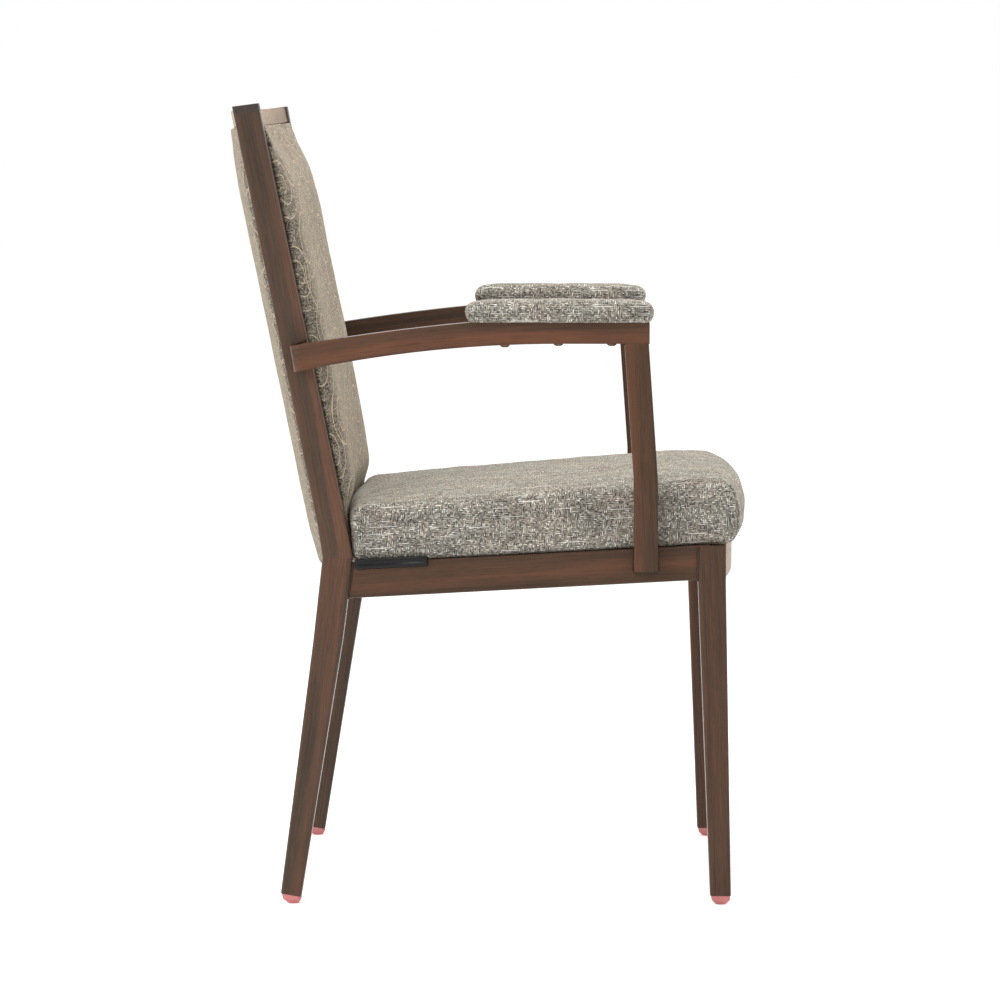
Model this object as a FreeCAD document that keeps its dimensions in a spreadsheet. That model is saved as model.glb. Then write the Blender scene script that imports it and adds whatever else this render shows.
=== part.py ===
# Upholstered dining armchair: a welded aluminium tube frame with a padded seat, back and armrests.
# Millimetres, +Z up, the sitter faces -Y, the sitter's right hand is at -X, the floor is Z = 0.
import FreeCAD, Part
import Sketcher
import math
import os
import re

Vector = FreeCAD.Vector
doc = FreeCAD.newDocument("dining_armchair")
sizes = doc.addObject("Spreadsheet::Sheet", "sizes")

# Driving dimensions: alias, value, meaning
driving = [
    ("stile_top_height", 900.0, "front top corner of the stiles above the floor"),
    ("knee_height", 391.0, "joint between rear leg and stile above the floor"),
    ("knee_front", 149.55, "Y of the front face of leg and stile at the knee"),
    ("back_lean", 11.45, "lean of the stiles, degrees"),
    ("seat_pitch", 3.1, "rise of the seat towards the front, degrees"),
    ("seat_drop", 6.4, "seat rail top below the knee joint, at the rear legs"),
    ("frame_gap", 387.8, "clear length of a side rail between rear and front leg"),
    ("knee_spread", 229.5, "middle of the chair to the middle of a leg at seat height"),
    ("foot_spread", 244.0, "middle of the chair to the middle of a foot"),
    ("stile_top_spread", 250.0, "middle of the chair to the middle of a stile top"),
    ("tube_wall", 2.0, "wall of all frame tubes"),
    ("leg_width", 25.0, "legs across at seat height"),
    ("foot_width", 23.5, "legs across at the floor"),
    ("foot_depth", 23.4, "legs front to back at the floor"),
    ("leg_corner", 4.0, "edge radius of the legs"),
    ("rear_leg_depth", 34.5, "rear legs front to back at the knee"),
    ("rear_leg_bend_height", 300.0, "bend of the rear legs above the floor"),
    ("rear_leg_bend_setback", 11.5, "front face at the bend behind the knee"),
    ("rear_leg_bend_depth", 33.2, "rear legs front to back at the bend"),
    ("rear_foot_setback", 60.2, "front face at the floor behind the knee"),
    ("leg_end_height", 10.6, "cut ends of the legs above the floor"),
    ("front_leg_depth", 31.4, "front legs front to back at the seat"),
    ("front_leg_block", 45.0, "straight top length of the front legs"),
    ("front_foot_advance", 6.8, "front face at the floor ahead of the seat"),
    ("stile_depth", 32.4, "stiles front to back above their flare"),
    ("stile_flare", 34.0, "height over which the stiles grow to the depth of the rear legs"),
    ("stile_top_depth", 29.8, "stiles front to back at the top"),
    ("stile_top_width", 24.0, "stiles across at the top"),
    ("stile_corner", 3.0, "edge radius of the stiles"),
    ("stile_cap_height", 9.0, "visible height of the stile caps"),
    ("stile_overrun", 10.0, "stile blanks above the stile tops, before they are cut"),
    ("stile_top_tilt", 7.5, "fall of the stile tops towards the rear, degrees"),
    ("spigot_length", 12.0, "plugs and caps inside their tubes"),
    ("glide_base", 11.6, "foot glides across at the floor"),
    ("rear_glide_lead", 4.0, "rear glides ahead of the middle of their legs at the floor"),
    ("rail_height", 39.2, "side rails"),
    ("rail_inset", 3.0, "side rail faces inside the leg faces"),
    ("rail_corner", 2.6, "edge radius of the rails"),
    ("rear_rail_height", 28.0, "rear rail"),
    ("rear_rail_depth", 22.0, "rear rail front to back"),
    ("front_rail_height", 37.0, "front rail"),
    ("front_rail_depth", 20.0, "front rail front to back"),
    ("front_rail_inset", 1.2, "front rail behind the front leg faces"),
    ("front_rail_drop", 0.5, "front rail below the front leg tops"),
    ("front_rail_bow", 15.0, "forward bow of the front rail"),
    ("back_bow", 22.5, "backward bow of the back"),
    ("top_rail_height", 18.4, "top rail"),
    ("top_rail_depth", 24.2, "top rail front to back"),
    ("top_rail_inset", 0.4, "top rail behind the stile faces"),
    ("top_rail_drop", 0.4, "top rail below the stile tops"),
    ("crossbar_height", 25.0, "crossbars in the back"),
    ("crossbar_depth", 12.0, "crossbars front to back"),
    ("crossbar_low", 60.0, "lower crossbar above the knee"),
    ("crossbar_top_gap", 85.536, "upper crossbar below the top rail"),
    ("front_board_thickness", 8.0, "front board of the back"),
    ("rear_board_thickness", 5.0, "rear board of the back"),
    ("fit_gap", 0.2, "clearance between pieces that seat on each other"),
    ("soft_gap", 0.3, "clearance round upholstery"),
    ("front_pad_thickness", 36.0, "front pad of the back"),
    ("front_pad_lip", 105.0, "rounded side edges of the front pad, across"),
    ("rear_pad_thickness", 7.4, "rear pad of the back"),
    ("rear_pad_lip", 8.0, "rounded side edges of the rear pad, across"),
    ("back_pad_gap", 1.6, "top edge of the back pads below the top rail"),
    ("back_pad_bottom", 6.0, "bottom edge of the rear pad below the knee"),
    ("back_pad_side_gap", 1.2, "back pads inside the stiles"),
    ("back_pad_plump", 1.5, "extra thickness in the middle of the back pads"),
    ("arm_height", 657.0, "flat top of the arm rails above the floor"),
    ("arm_depth", 23.4, "arm rails top to bottom at the pad"),
    ("arm_width", 24.0, "arm rails and posts across"),
    ("arm_spread", 263.0, "middle of the chair to the middle of an arm"),
    ("arm_reach", 332.0, "front end of the arm rails ahead of the knee"),
    ("arm_bend", 130.0, "end of the flat arm top ahead of the knee"),
    ("arm_curve_start", 233.0, "start of the curved arm underside ahead of the knee"),
    ("arm_tail", 69.0, "rear end of the arm rails behind the knee"),
    ("arm_tail_drop", 26.6, "arm top at the rear end below its flat"),
    ("arm_tail_slant", 5.0, "lower rear corner of the arm ahead of the upper one"),
    ("arm_top_radius", 2600.0, "curve of the arm top"),
    ("arm_under_radius", 1390.0, "curve of the arm underside"),
    ("arm_tail_round", 11.0, "rounding of the arm end into the stile"),
    ("arm_corner", 2.5, "edge radius of the arm rails and posts"),
    ("post_depth", 27.0, "arm posts front to back"),
    ("post_foot_height", 378.0, "lower ends of the arm posts above the floor"),
    ("post_foot_place", 328.9, "middle of the post foot ahead of the knee"),
    ("post_lean", 11.2, "middle of the post top behind its foot"),
    ("post_bend_height", 482.0, "bend of the arm posts above the floor"),
    ("post_bite", 0.8, "posts cut into the side rail faces"),
    ("post_plug_thickness", 3.0, "visible thickness of the post plugs"),
    ("arm_pad_length", 210.0, "arm pads"),
    ("arm_pad_width", 51.0, "arm pads across"),
    ("arm_pad_height", 26.0, "arm pads"),
    ("arm_pad_side_bow", 0.6, "outward bow of the arm pads' sides"),
    ("arm_pad_end_bow", 0.8, "outward bow of the arm pads' ends"),
    ("arm_pad_overhang", 5.0, "pad front end ahead of the arm rail end"),
    ("pad_board_thickness", 9.0, "boards in the arm pads"),
    ("pad_board_width", 34.0, "boards in the arm pads"),
    ("pad_board_margin", 12.0, "pad ends beyond their board"),
    ("pad_screw_pitch", 59.5, "screws under an arm rail"),
    ("pad_screw_shift", 1.5, "middle screw behind the middle of the arm pad"),
    ("pad_screw_diameter", 5.0, "screws under an arm rail"),
    ("pad_screw_head", 10.6, "screw heads under an arm rail"),
    ("pad_screw_head_height", 2.6, "screw heads under an arm rail"),
    ("screw_grip", 7.0, "screw length inside a board"),
    ("screw_clearance", 0.3, "screw holes wider than their screws"),
    ("cushion_length", 435.0, "seat cushion front to back at its sides"),
    ("cushion_front_bow", 13.0, "forward bow of the seat cushion's front"),
    ("cushion_side_bow", 2.0, "outward bow of the seat cushion's sides"),
    ("cushion_rear_bow", 11.0, "backward bow of the seat cushion's rear"),
    ("cushion_rear_fall", 11.0, "seat cushion thinner at the rear than at the front"),
    ("cushion_width", 476.0, "seat cushion across"),
    ("cushion_side_height", 72.0, "seat cushion at the front of its side edges"),
    ("cushion_crown", 12.0, "middle of the seat above its side edges"),
    ("cushion_rear_gap", 3.0, "seat cushion ahead of the rear legs"),
    ("seat_board_thickness", 12.0, "seat board"),
    ("seat_board_margin", 20.0, "cushion beyond the seat board"),
    ("seat_tab_length", 44.0, "seat tabs along the side rails"),
    ("seat_tab_reach", 36.0, "seat tabs inward from the side rails"),
    ("seat_tab_thickness", 3.0, "seat tabs"),
    ("seat_tab_place", 62.0, "middle of a tab from the end of the rail"),
    ("seat_screw_diameter", 6.0, "seat screws"),
    ("seat_screw_head", 12.0, "seat screw heads"),
    ("seat_screw_head_height", 3.8, "seat screw heads"),
    ("dust_cover_thickness", 1.0, "dust cover under the seat"),
    ("dust_cover_margin", 8.0, "dust cover inside the seat tabs"),
    ("bumper_length", 75.0, "stacking bumpers"),
    ("bumper_height", 11.8, "stacking bumpers"),
    ("bumper_thickness", 5.0, "stacking bumpers out from the rail"),
    ("bumper_rise", 4.8, "bumper top above the rail top"),
    ("bumper_setback", 9.5, "bumper rear end ahead of the rear leg"),
    ("bumper_corner", 1.6, "edge radius of the bumpers"),
    ("stud_diameter", 4.0, "studs of the bumpers"),
    ("stud_drop", 1.2, "studs below the middle of the bumpers"),
    ("stud_reach", 1.5, "studs beyond the inner face of the rail wall"),
    ("back_screw_diameter", 4.5, "screws in the crossbars"),
    ("back_screw_head", 8.5, "heads of the screws in the crossbars"),
    ("back_screw_head_height", 2.6, "heads of the screws in the crossbars"),
    ("back_screw_spread", 130.0, "middle of the chair to a crossbar screw"),
    ("back_screw_sink", 1.5, "screw heads below the rear faces of the crossbars"),
    ("back_screw_access", 6.0, "screw holes behind the screw heads"),
]
for row, (alias, value, meaning) in enumerate(driving, start=1):
    sizes.set(f"A{row}", alias)
    sizes.set(f"B{row}", str(value))
    sizes.set(f"C{row}", meaning)
    sizes.setAlias(f"B{row}", alias)
doc.recompute()
aliases = {alias for alias, value, meaning in driving}

# Places that several pieces share, written in the aliases
rail_top_rear = "(knee_height - seat_drop)"
rail_top_front = f"({rail_top_rear} + frame_gap * tan(seat_pitch * 1 deg))"
front_leg_rear = "(knee_front - frame_gap)"
front_leg_front = f"({front_leg_rear} - front_leg_depth)"
front_leg_top = f"({rail_top_front} - fit_gap)"
rail_width = "(leg_width - 2 * rail_inset)"
rail_outer = f"(knee_spread + {rail_width} / 2)"
stile_length = "((stile_top_height - knee_height) / cos(back_lean * 1 deg))"
stile_rise = "(stile_top_height - knee_height)"
pad_top = f"({stile_length} - top_rail_drop - top_rail_height - back_pad_gap)"
pad_front = "(knee_front - arm_reach - arm_pad_overhang)"
pad_middle = f"({pad_front} + arm_pad_length / 2)"
arm_under = "(arm_height - arm_depth)"


def sheet_text(text):
    def in_sheet(match):
        word = match[0]
        return f"sizes.{word}" if word in aliases else word

    return re.sub(r"[a-z][a-z_]+", in_sheet, text)


def number(text):
    return float(sizes.evalExpression(text))


def bind(item, prop, text):
    item.setExpression(prop, sheet_text(text))


def bind_named(sketch, index, name, text):
    sketch.renameConstraint(index, name)
    bind(sketch, f"Constraints.{name}", text)


def new_body(name):
    return doc.addObject("PartDesign::Body", name)


def new_sketch(body, name, role, x="0", y="0", z="0"):
    plane = [item for item in body.Origin.OriginFeatures if item.Role == role][0]
    sketch = body.newObject("Sketcher::SketchObject", name)
    sketch.AttachmentSupport = [(plane, "")]
    sketch.MapMode = "FlatFace"
    for axis, text in zip("xyz", (x, y, z)):
        bind(sketch, f"AttachmentOffset.Base.{axis}", text)
    return sketch


def rounded_rectangle(sketch, width, depth, radius, tag="outer"):
    half_width = number(width) / 2
    half_depth = number(depth) / 2
    corner = number(radius)
    inner_width = half_width - corner
    inner_depth = half_depth - corner
    ends = [
        (Vector(-inner_width, -half_depth), Vector(inner_width, -half_depth)),
        (Vector(half_width, -inner_depth), Vector(half_width, inner_depth)),
        (Vector(inner_width, half_depth), Vector(-inner_width, half_depth)),
        (Vector(-half_width, inner_depth), Vector(-half_width, -inner_depth)),
    ]
    centres = [
        Vector(inner_width, -inner_depth),
        Vector(inner_width, inner_depth),
        Vector(-inner_width, inner_depth),
        Vector(-inner_width, -inner_depth),
    ]
    lines = [sketch.addGeometry(Part.LineSegment(start, end), False) for start, end in ends]
    arcs = []
    for turn, centre in enumerate(centres):
        circle = Part.Circle(centre, Vector(0, 0, 1), corner)
        start = (turn - 1) * math.pi / 2
        arcs.append(sketch.addGeometry(Part.ArcOfCircle(circle, start, start + math.pi / 2), False))
    for turn in range(4):
        sketch.addConstraint(Sketcher.Constraint("Tangent", lines[turn], 2, arcs[turn], 1))
        sketch.addConstraint(Sketcher.Constraint("Tangent", arcs[turn], 2, lines[(turn + 1) % 4], 1))
        sketch.addConstraint(Sketcher.Constraint("Horizontal" if turn % 2 == 0 else "Vertical", lines[turn]))
    for arc in arcs[1:]:
        sketch.addConstraint(Sketcher.Constraint("Equal", arcs[0], arc))
    sketch.addConstraint(Sketcher.Constraint("Symmetric", arcs[0], 3, arcs[2], 3, -1, 1))
    index = sketch.addConstraint(Sketcher.Constraint("Radius", arcs[0], corner))
    bind_named(sketch, index, f"{tag}_radius", radius)
    index = sketch.addConstraint(Sketcher.Constraint("DistanceX", lines[3], 1, lines[1], 1, 2 * half_width))
    bind_named(sketch, index, f"{tag}_width", width)
    index = sketch.addConstraint(Sketcher.Constraint("DistanceY", lines[0], 1, lines[2], 1, 2 * half_depth))
    bind_named(sketch, index, f"{tag}_depth", depth)


def crescent(sketch, half_length, near, thickness, bow):
    # Two arcs that bow towards +Y and the two straight ends between them
    reach = number(half_length)
    arcs = []
    for start, name in ((number(near), "near"), (number(f"{near} + {thickness}"), "far")):
        radius_text = f"({half_length} ^ 2 + {bow} ^ 2) / (2 * {bow})"
        radius = number(radius_text)
        circle = Part.Circle(Vector(0, start + number(bow) - radius), Vector(0, 0, 1), radius)
        half_angle = math.asin(reach / radius)
        arc = Part.ArcOfCircle(circle, math.pi / 2 - half_angle, math.pi / 2 + half_angle)
        arcs.append(sketch.addGeometry(arc, False))
        index = sketch.addConstraint(Sketcher.Constraint("Radius", arcs[-1], radius))
        bind_named(sketch, index, f"{name}_radius", radius_text)
    near_y = number(near)
    far_y = number(f"{near} + {thickness}")
    right = sketch.addGeometry(Part.LineSegment(Vector(reach, near_y), Vector(reach, far_y)), False)
    left = sketch.addGeometry(Part.LineSegment(Vector(-reach, near_y), Vector(-reach, far_y)), False)
    for line, end in ((right, 1), (left, 2)):
        sketch.addConstraint(Sketcher.Constraint("Coincident", line, 1, arcs[0], end))
        sketch.addConstraint(Sketcher.Constraint("Coincident", line, 2, arcs[1], end))
        sketch.addConstraint(Sketcher.Constraint("Vertical", line))
    sketch.addConstraint(Sketcher.Constraint("Symmetric", arcs[0], 1, arcs[0], 2, -2))
    sketch.addConstraint(Sketcher.Constraint("Horizontal", arcs[1], 1, arcs[1], 2))
    index = sketch.addConstraint(Sketcher.Constraint("DistanceX", -1, 1, right, 1, reach))
    bind_named(sketch, index, "half_length", half_length)
    index = sketch.addConstraint(Sketcher.Constraint("DistanceY", -1, 1, right, 1, near_y))
    bind_named(sketch, index, "near", near)
    index = sketch.addConstraint(Sketcher.Constraint("DistanceY", right, 1, right, 2, far_y - near_y))
    bind_named(sketch, index, "thickness", thickness)


def loft_of(body, sketches):
    loft = body.newObject("PartDesign::AdditiveLoft", body.Name + "_loft")
    loft.Profile = sketches[0]
    loft.Sections = sketches[1:]
    loft.Ruled = True
    return body


def section_loft(name, stations, inset="0"):
    # A ruled loft through level rounded rectangles, each given as x, y, z, width, depth, radius
    body = new_body(name)
    sketches = []
    for place, (x, y, z, width, depth, radius) in enumerate(stations):
        sketch = new_sketch(body, f"{name}_section_{place}", "XY_Plane", x, y, z)
        rounded_rectangle(sketch, f"{width} - 2 * {inset}", f"{depth} - 2 * {inset}",
                          f"{radius} - 0.5 * {inset}")
        sketches.append(sketch)
    return loft_of(body, sketches)


def boolean(kind, name, base, tool):
    item = doc.addObject(kind, name)
    item.Base = base
    item.Tool = tool
    return item


def cut(name, base, *tools):
    item = base
    for place, tool in enumerate(tools):
        last = place == len(tools) - 1
        item = boolean("Part::Cut", name if last else f"{name}_step_{place}", item, tool)
    return item


def fuse(name, *pieces):
    item = doc.addObject("Part::MultiFuse", name)
    item.Shapes = list(pieces)
    return item


def mirrored(name, source):
    item = doc.addObject("Part::Mirroring", name)
    item.Source = source
    item.Normal = Vector(1, 0, 0)
    return item


def in_seat_frame(item):
    # Local Z = 0 is the top of the side rails, local Y = 0 the front of the rear legs
    item.Placement = FreeCAD.Placement(Vector(0, 0, 0), FreeCAD.Rotation(Vector(-1, 0, 0), 1))
    bind(item, "Placement.Rotation.Angle", "seat_pitch")
    bind(item, "Placement.Base.y", "knee_front")
    bind(item, "Placement.Base.z", rail_top_rear)
    return item


def in_back_frame(item):
    # Local Z runs up along the stiles, from the knee, and local Y = 0 is their front face
    item.Placement = FreeCAD.Placement(Vector(0, 0, 0), FreeCAD.Rotation(Vector(-1, 0, 0), 1))
    bind(item, "Placement.Rotation.Angle", "back_lean")
    bind(item, "Placement.Base.y", "knee_front")
    bind(item, "Placement.Base.z", "knee_height")
    return item


def box(name, x, y, z, width, depth, height):
    # A block from its lowest corner, as a padded rectangle in a body of its own
    body = new_body(name)
    sketch = new_sketch(body, f"{name}_outline", "XY_Plane", x, y, z)
    corners = [(0, 0), (number(width), 0), (number(width), number(depth)), (0, number(depth))]
    points = [Vector(*corner) for corner in corners]
    for place in range(4):
        sketch.addGeometry(Part.LineSegment(points[place], points[(place + 1) % 4]), False)
    for place in range(4):
        sketch.addConstraint(Sketcher.Constraint("Coincident", place, 2, (place + 1) % 4, 1))
        sketch.addConstraint(Sketcher.Constraint("Horizontal" if place % 2 == 0 else "Vertical", place))
    sketch.addConstraint(Sketcher.Constraint("Coincident", 0, 1, -1, 1))
    index = sketch.addConstraint(Sketcher.Constraint("DistanceX", 0, 1, 0, 2, number(width)))
    bind_named(sketch, index, "width", width)
    index = sketch.addConstraint(Sketcher.Constraint("DistanceY", 1, 1, 1, 2, number(depth)))
    bind_named(sketch, index, "depth", depth)
    pad = body.newObject("PartDesign::Pad", f"{name}_pad")
    pad.Profile = sketch
    bind(pad, "Length", height)
    return body


def cylinder(name, x, y, z, diameter, height, axis=Vector(0, 0, 1)):
    item = doc.addObject("Part::Cylinder", name)
    item.Placement = FreeCAD.Placement(Vector(0, 0, 0), FreeCAD.Rotation(Vector(0, 0, 1), axis))
    bind(item, "Radius", f"({diameter}) / 2")
    bind(item, "Height", height)
    for letter, text in zip("xyz", (x, y, z)):
        bind(item, f"Placement.Base.{letter}", text)
    return item


def placed(name, item, frame):
    # A copy of a loose primitive carried into one of the leaning frames
    group = doc.addObject("Part::Compound", name)
    group.Links = [item] if not isinstance(item, list) else item
    return frame(group)


nodes = {}


def node(name, item, solids=1):
    item.Label = name
    nodes[name] = (item, solids)
    return item


def node_pair(name, item, solids=1):
    node(f"{name}_right", item, solids)
    return node(f"{name}_left", mirrored(f"{name}_left", item), solids)


# Legs and stiles, the right side first and the left side as its mirror image
def leg_stations(foot_front, upper):
    foot_middle = f"({foot_front} + foot_depth / 2)"
    return [("-foot_spread", foot_middle, "0", "foot_width", "foot_depth", "leg_corner")] + upper


def leg_spread(height):
    return f"(foot_spread + (knee_spread - foot_spread) * ({height}) / knee_height)"


def leg_across(height):
    return f"(foot_width + (leg_width - foot_width) * ({height}) / knee_height)"


knee_station = ("-knee_spread", "knee_front + rear_leg_depth / 2", "knee_height",
                "leg_width", "rear_leg_depth", "leg_corner")
rear_foot_front = "(knee_front + rear_foot_setback)"
rear_leg_stations = leg_stations(rear_foot_front, [
    (f"-{leg_spread('rear_leg_bend_height')}",
     "knee_front + rear_leg_bend_setback + rear_leg_bend_depth / 2", "rear_leg_bend_height",
     leg_across("rear_leg_bend_height"), "rear_leg_bend_depth", "leg_corner"),
    knee_station,
])
front_foot_front = f"({front_leg_front} - front_foot_advance)"
front_leg_middle = f"({front_leg_rear} - front_leg_depth / 2)"
front_leg_bend = f"({front_leg_top} - front_leg_block)"
front_leg_stations = leg_stations(front_foot_front, [
    ("-knee_spread", front_leg_middle, front_leg_bend, "leg_width", "front_leg_depth", "leg_corner"),
    ("-knee_spread", front_leg_middle, front_leg_top, "leg_width", "front_leg_depth", "leg_corner"),
])
front_hollow_stations = front_leg_stations[:-1] + [
    ("-knee_spread", front_leg_middle, f"{front_leg_top} - tube_wall",
     "leg_width", "front_leg_depth", "leg_corner"),
]


def foot_trim(name, middle, rake):
    # The block below a leg's end, square to the leg
    body = box(name, "-2 * foot_spread", "-2 * foot_depth", "-3 * leg_end_height",
               "2 * foot_spread", "4 * foot_depth", "3 * leg_end_height")
    body.Placement = FreeCAD.Placement(Vector(0, 0, 0), FreeCAD.Rotation(Vector(-1, 0, 0), 1))
    bind(body, "Placement.Rotation.Angle", rake)
    bind(body, "Placement.Base.y", middle)
    bind(body, "Placement.Base.z", "leg_end_height")
    return body


def build_leg(name, stations, hollow_stations, foot_front, rake, glide_lead):
    foot_middle = f"({foot_front} + foot_depth / 2)"
    glide_middle = f"({foot_middle} - {glide_lead})"
    trim = foot_trim(f"{name}_trim", foot_middle, rake)
    form = cut(f"{name}_form", section_loft(f"{name}_blank", stations), trim)
    hollow = section_loft(f"{name}_hollow", hollow_stations, "tube_wall")
    node_pair(name, cut(f"{name}_tube", form, hollow))
    glide_top = "(1.3 * leg_end_height)"
    bend_x, bend_y, bend_z = stations[1][:3]
    top_share = f"({glide_top} / ({bend_z}))"
    top_x = f"-foot_spread + ({bend_x} + foot_spread) * {top_share}"
    top_y = f"{foot_middle} + ({bend_y} - {foot_middle}) * {top_share}"
    glide_stations = [
        ("-foot_spread", glide_middle, "0", "glide_base", "glide_base", "0.49 * glide_base"),
        ("-foot_spread", f"{foot_middle} - 0.6 * {glide_lead}", "0.5 * leg_end_height",
         "0.88 * foot_width", "0.88 * foot_depth", "leg_corner"),
        (top_x, top_y, glide_top, "0.98 * foot_width", "0.98 * foot_depth", "leg_corner"),
    ]
    sole = cut(f"{name}_sole", section_loft(f"{name}_sole_blank", glide_stations), form)
    plug_block = box(f"{name}_plug_block", "-2 * foot_spread", f"{foot_middle} - 2 * foot_depth", "0",
                     "2 * foot_spread", "4 * foot_depth", "leg_end_height + spigot_length")
    plug_blank = boolean("Part::Common", f"{name}_plug_blank", hollow, plug_block)
    plug = cut(f"{name}_plug", plug_blank, trim)
    node_pair(name.replace("leg", "foot_glide"), fuse(f"{name}_glide", sole, plug))
    return form


rear_rake = "atan((rear_foot_setback - rear_leg_bend_setback) / rear_leg_bend_height)"
front_rake = "0 deg"
rear_leg_form = build_leg("rear_leg", rear_leg_stations, rear_leg_stations, rear_foot_front,
                          f"-1 * {rear_rake}", "rear_glide_lead")
front_leg_form = build_leg("front_leg", front_leg_stations, front_hollow_stations, front_foot_front,
                           front_rake, "0")


def stile_station(rise, depth):
    share = f"({rise} / {stile_rise})"
    return (f"-(knee_spread + (stile_top_spread - knee_spread) * {share})",
            f"knee_front + {rise} * tan(back_lean * 1 deg) + {depth} / 2", f"knee_height + {rise}",
            f"(leg_width + (stile_top_width - leg_width) * {share})", depth, "stile_corner")


stile_blank_rise = f"({stile_rise} + stile_overrun)"
stile_stations = [
    knee_station,
    stile_station("stile_flare", "stile_depth"),
    stile_station(stile_blank_rise, "stile_top_depth"),
]
stile_blank = section_loft("back_stile_blank", stile_stations)
stile_hollow = section_loft("back_stile_hollow", stile_stations, "tube_wall")


def top_slab(name, low, height):
    # A slab across both stiles; local Z = 0 is their tops, which fall towards the rear
    slab = box(name, "-2 * stile_top_spread", "-3 * stile_depth", low,
               "4 * stile_top_spread", "6 * stile_depth", height)
    slab.Placement = FreeCAD.Placement(Vector(0, 0, 0), FreeCAD.Rotation(Vector(-1, 0, 0), 1))
    bind(slab, "Placement.Rotation.Angle", "stile_top_tilt")
    bind(slab, "Placement.Base.y", f"knee_front + {stile_rise} * tan(back_lean * 1 deg)")
    bind(slab, "Placement.Base.z", "stile_top_height")
    return slab


stile_form = cut("back_stile_form", stile_blank,
                 top_slab("stile_end_trim", "-stile_cap_height", "3 * stile_depth"))
node_pair("back_stile", cut("back_stile_tube", stile_form, stile_hollow))
cap_head = boolean("Part::Common", "stile_cap_head", stile_blank,
                   top_slab("stile_cap_slab", "-stile_cap_height", "stile_cap_height"))
cap_spigot = boolean("Part::Common", "stile_cap_spigot", stile_hollow,
                     top_slab("stile_spigot_slab", "-stile_cap_height - spigot_length", "spigot_length"))
node_pair("stile_cap", fuse("stile_cap_solid", cap_head, cap_spigot))

upright_forms = fuse("upright_forms", rear_leg_form, front_leg_form, stile_blank)
both_uprights = fuse("both_upright_forms", upright_forms, mirrored("upright_forms_left", upright_forms))


# Seat rails, run into the legs and cut off at their faces
def tube_pad(name, role, offsets, width, height, corner, length, symmetric=False):
    body = new_body(name)
    sketch = new_sketch(body, f"{name}_section", role, *offsets)
    rounded_rectangle(sketch, width, height, corner)
    rounded_rectangle(sketch, f"{width} - 2 * tube_wall", f"{height} - 2 * tube_wall",
                      f"{corner} - 0.5 * tube_wall", "inner")
    pad = body.newObject("PartDesign::Pad", f"{name}_pad")
    pad.Profile = sketch
    pad.SideType = "Symmetric" if symmetric else "One side"
    bind(pad, "Length", length)
    return body


def plain_pad(name, role, offsets, width, height, corner, length):
    body = new_body(name)
    sketch = new_sketch(body, f"{name}_section", role, *offsets)
    rounded_rectangle(sketch, width, height, corner)
    pad = body.newObject("PartDesign::Pad", f"{name}_pad")
    pad.Profile = sketch
    bind(pad, "Length", length)
    return body


run_in = "(0.4 * front_leg_depth)"
rail_offsets = ("-knee_spread", "-rail_height / 2", f"-{run_in}")
rail_length = f"(frame_gap / cos(seat_pitch * 1 deg) + 2 * {run_in})"
side_rail_blank = in_seat_frame(tube_pad("side_rail_blank", "XZ_Plane", rail_offsets, rail_width,
                                         "rail_height", "rail_corner", rail_length))
side_rail_solid = in_seat_frame(plain_pad("side_rail_solid", "XZ_Plane", rail_offsets, rail_width,
                                          "rail_height", "rail_corner", rail_length))
stud_places = [f"-(bumper_setback + {share} * bumper_length)" for share in (0.25, 0.75)]
stud_height = "(bumper_rise - bumper_height / 2 - stud_drop)"


def bumper_studs(name, diameter, length):
    studs = []
    for place, along in enumerate(stud_places):
        stud = cylinder(f"{name}_{place}", f"-{rail_outer} - 0.4 * bumper_thickness", along, stud_height,
                        diameter, length, Vector(1, 0, 0))
        studs.append(stud)
    return placed(name, studs, in_seat_frame)


stud_length = "(0.4 * bumper_thickness + tube_wall + stud_reach)"
stud_holes = bumper_studs("stud_holes", "stud_diameter + screw_clearance", stud_length)
node_pair("side_rail", cut("side_rail_tube", side_rail_blank, upright_forms, stud_holes))

bumper_strip = in_seat_frame(plain_pad(
    "bumper_strip", "XZ_Plane",
    (f"-({rail_outer} + bumper_thickness / 2)", "bumper_rise - bumper_height / 2", "bumper_setback"),
    "bumper_thickness", "bumper_height", "bumper_corner", "bumper_length"))
node_pair("stacking_bumper", fuse("stacking_bumper_solid", bumper_strip,
                                  bumper_studs("bumper_studs", "stud_diameter", stud_length)))

rear_rail_middle = "(knee_front + rear_leg_depth / 2)"
rear_rail_low = f"({rail_top_rear} - rail_height)"
rear_rail_blank = tube_pad("rear_rail_blank", "YZ_Plane",
                           (rear_rail_middle, f"{rear_rail_low} + rear_rail_height / 2", "0"),
                           "rear_rail_depth", "rear_rail_height", "rail_corner", "2 * knee_spread", True)
node("rear_rail", cut("rear_rail_tube", rear_rail_blank, both_uprights))


def crescent_bar(name, frame, near, depth, bow, low, height, reach_low, reach_high, hollow=False):
    # A bowed bar between two heights; a hollow one is a tube with open ends
    body = new_body(name)
    sketches = []
    for place, (level, reach) in enumerate(((low, reach_low), (f"{low} + {height}", reach_high))):
        sketch = new_sketch(body, f"{name}_section_{place}", "XY_Plane", "0", "0", level)
        crescent(sketch, reach, near, depth, bow)
        sketches.append(sketch)
    frame(loft_of(body, sketches))
    if not hollow:
        return body
    core = crescent_bar(f"{name}_core", frame, f"({near} + tube_wall)", f"({depth} - 2 * tube_wall)", bow,
                        f"({low} + tube_wall)", f"({height} - 2 * tube_wall)", reach_low, reach_high)
    return cut(f"{name}_tube", body, core)


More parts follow.
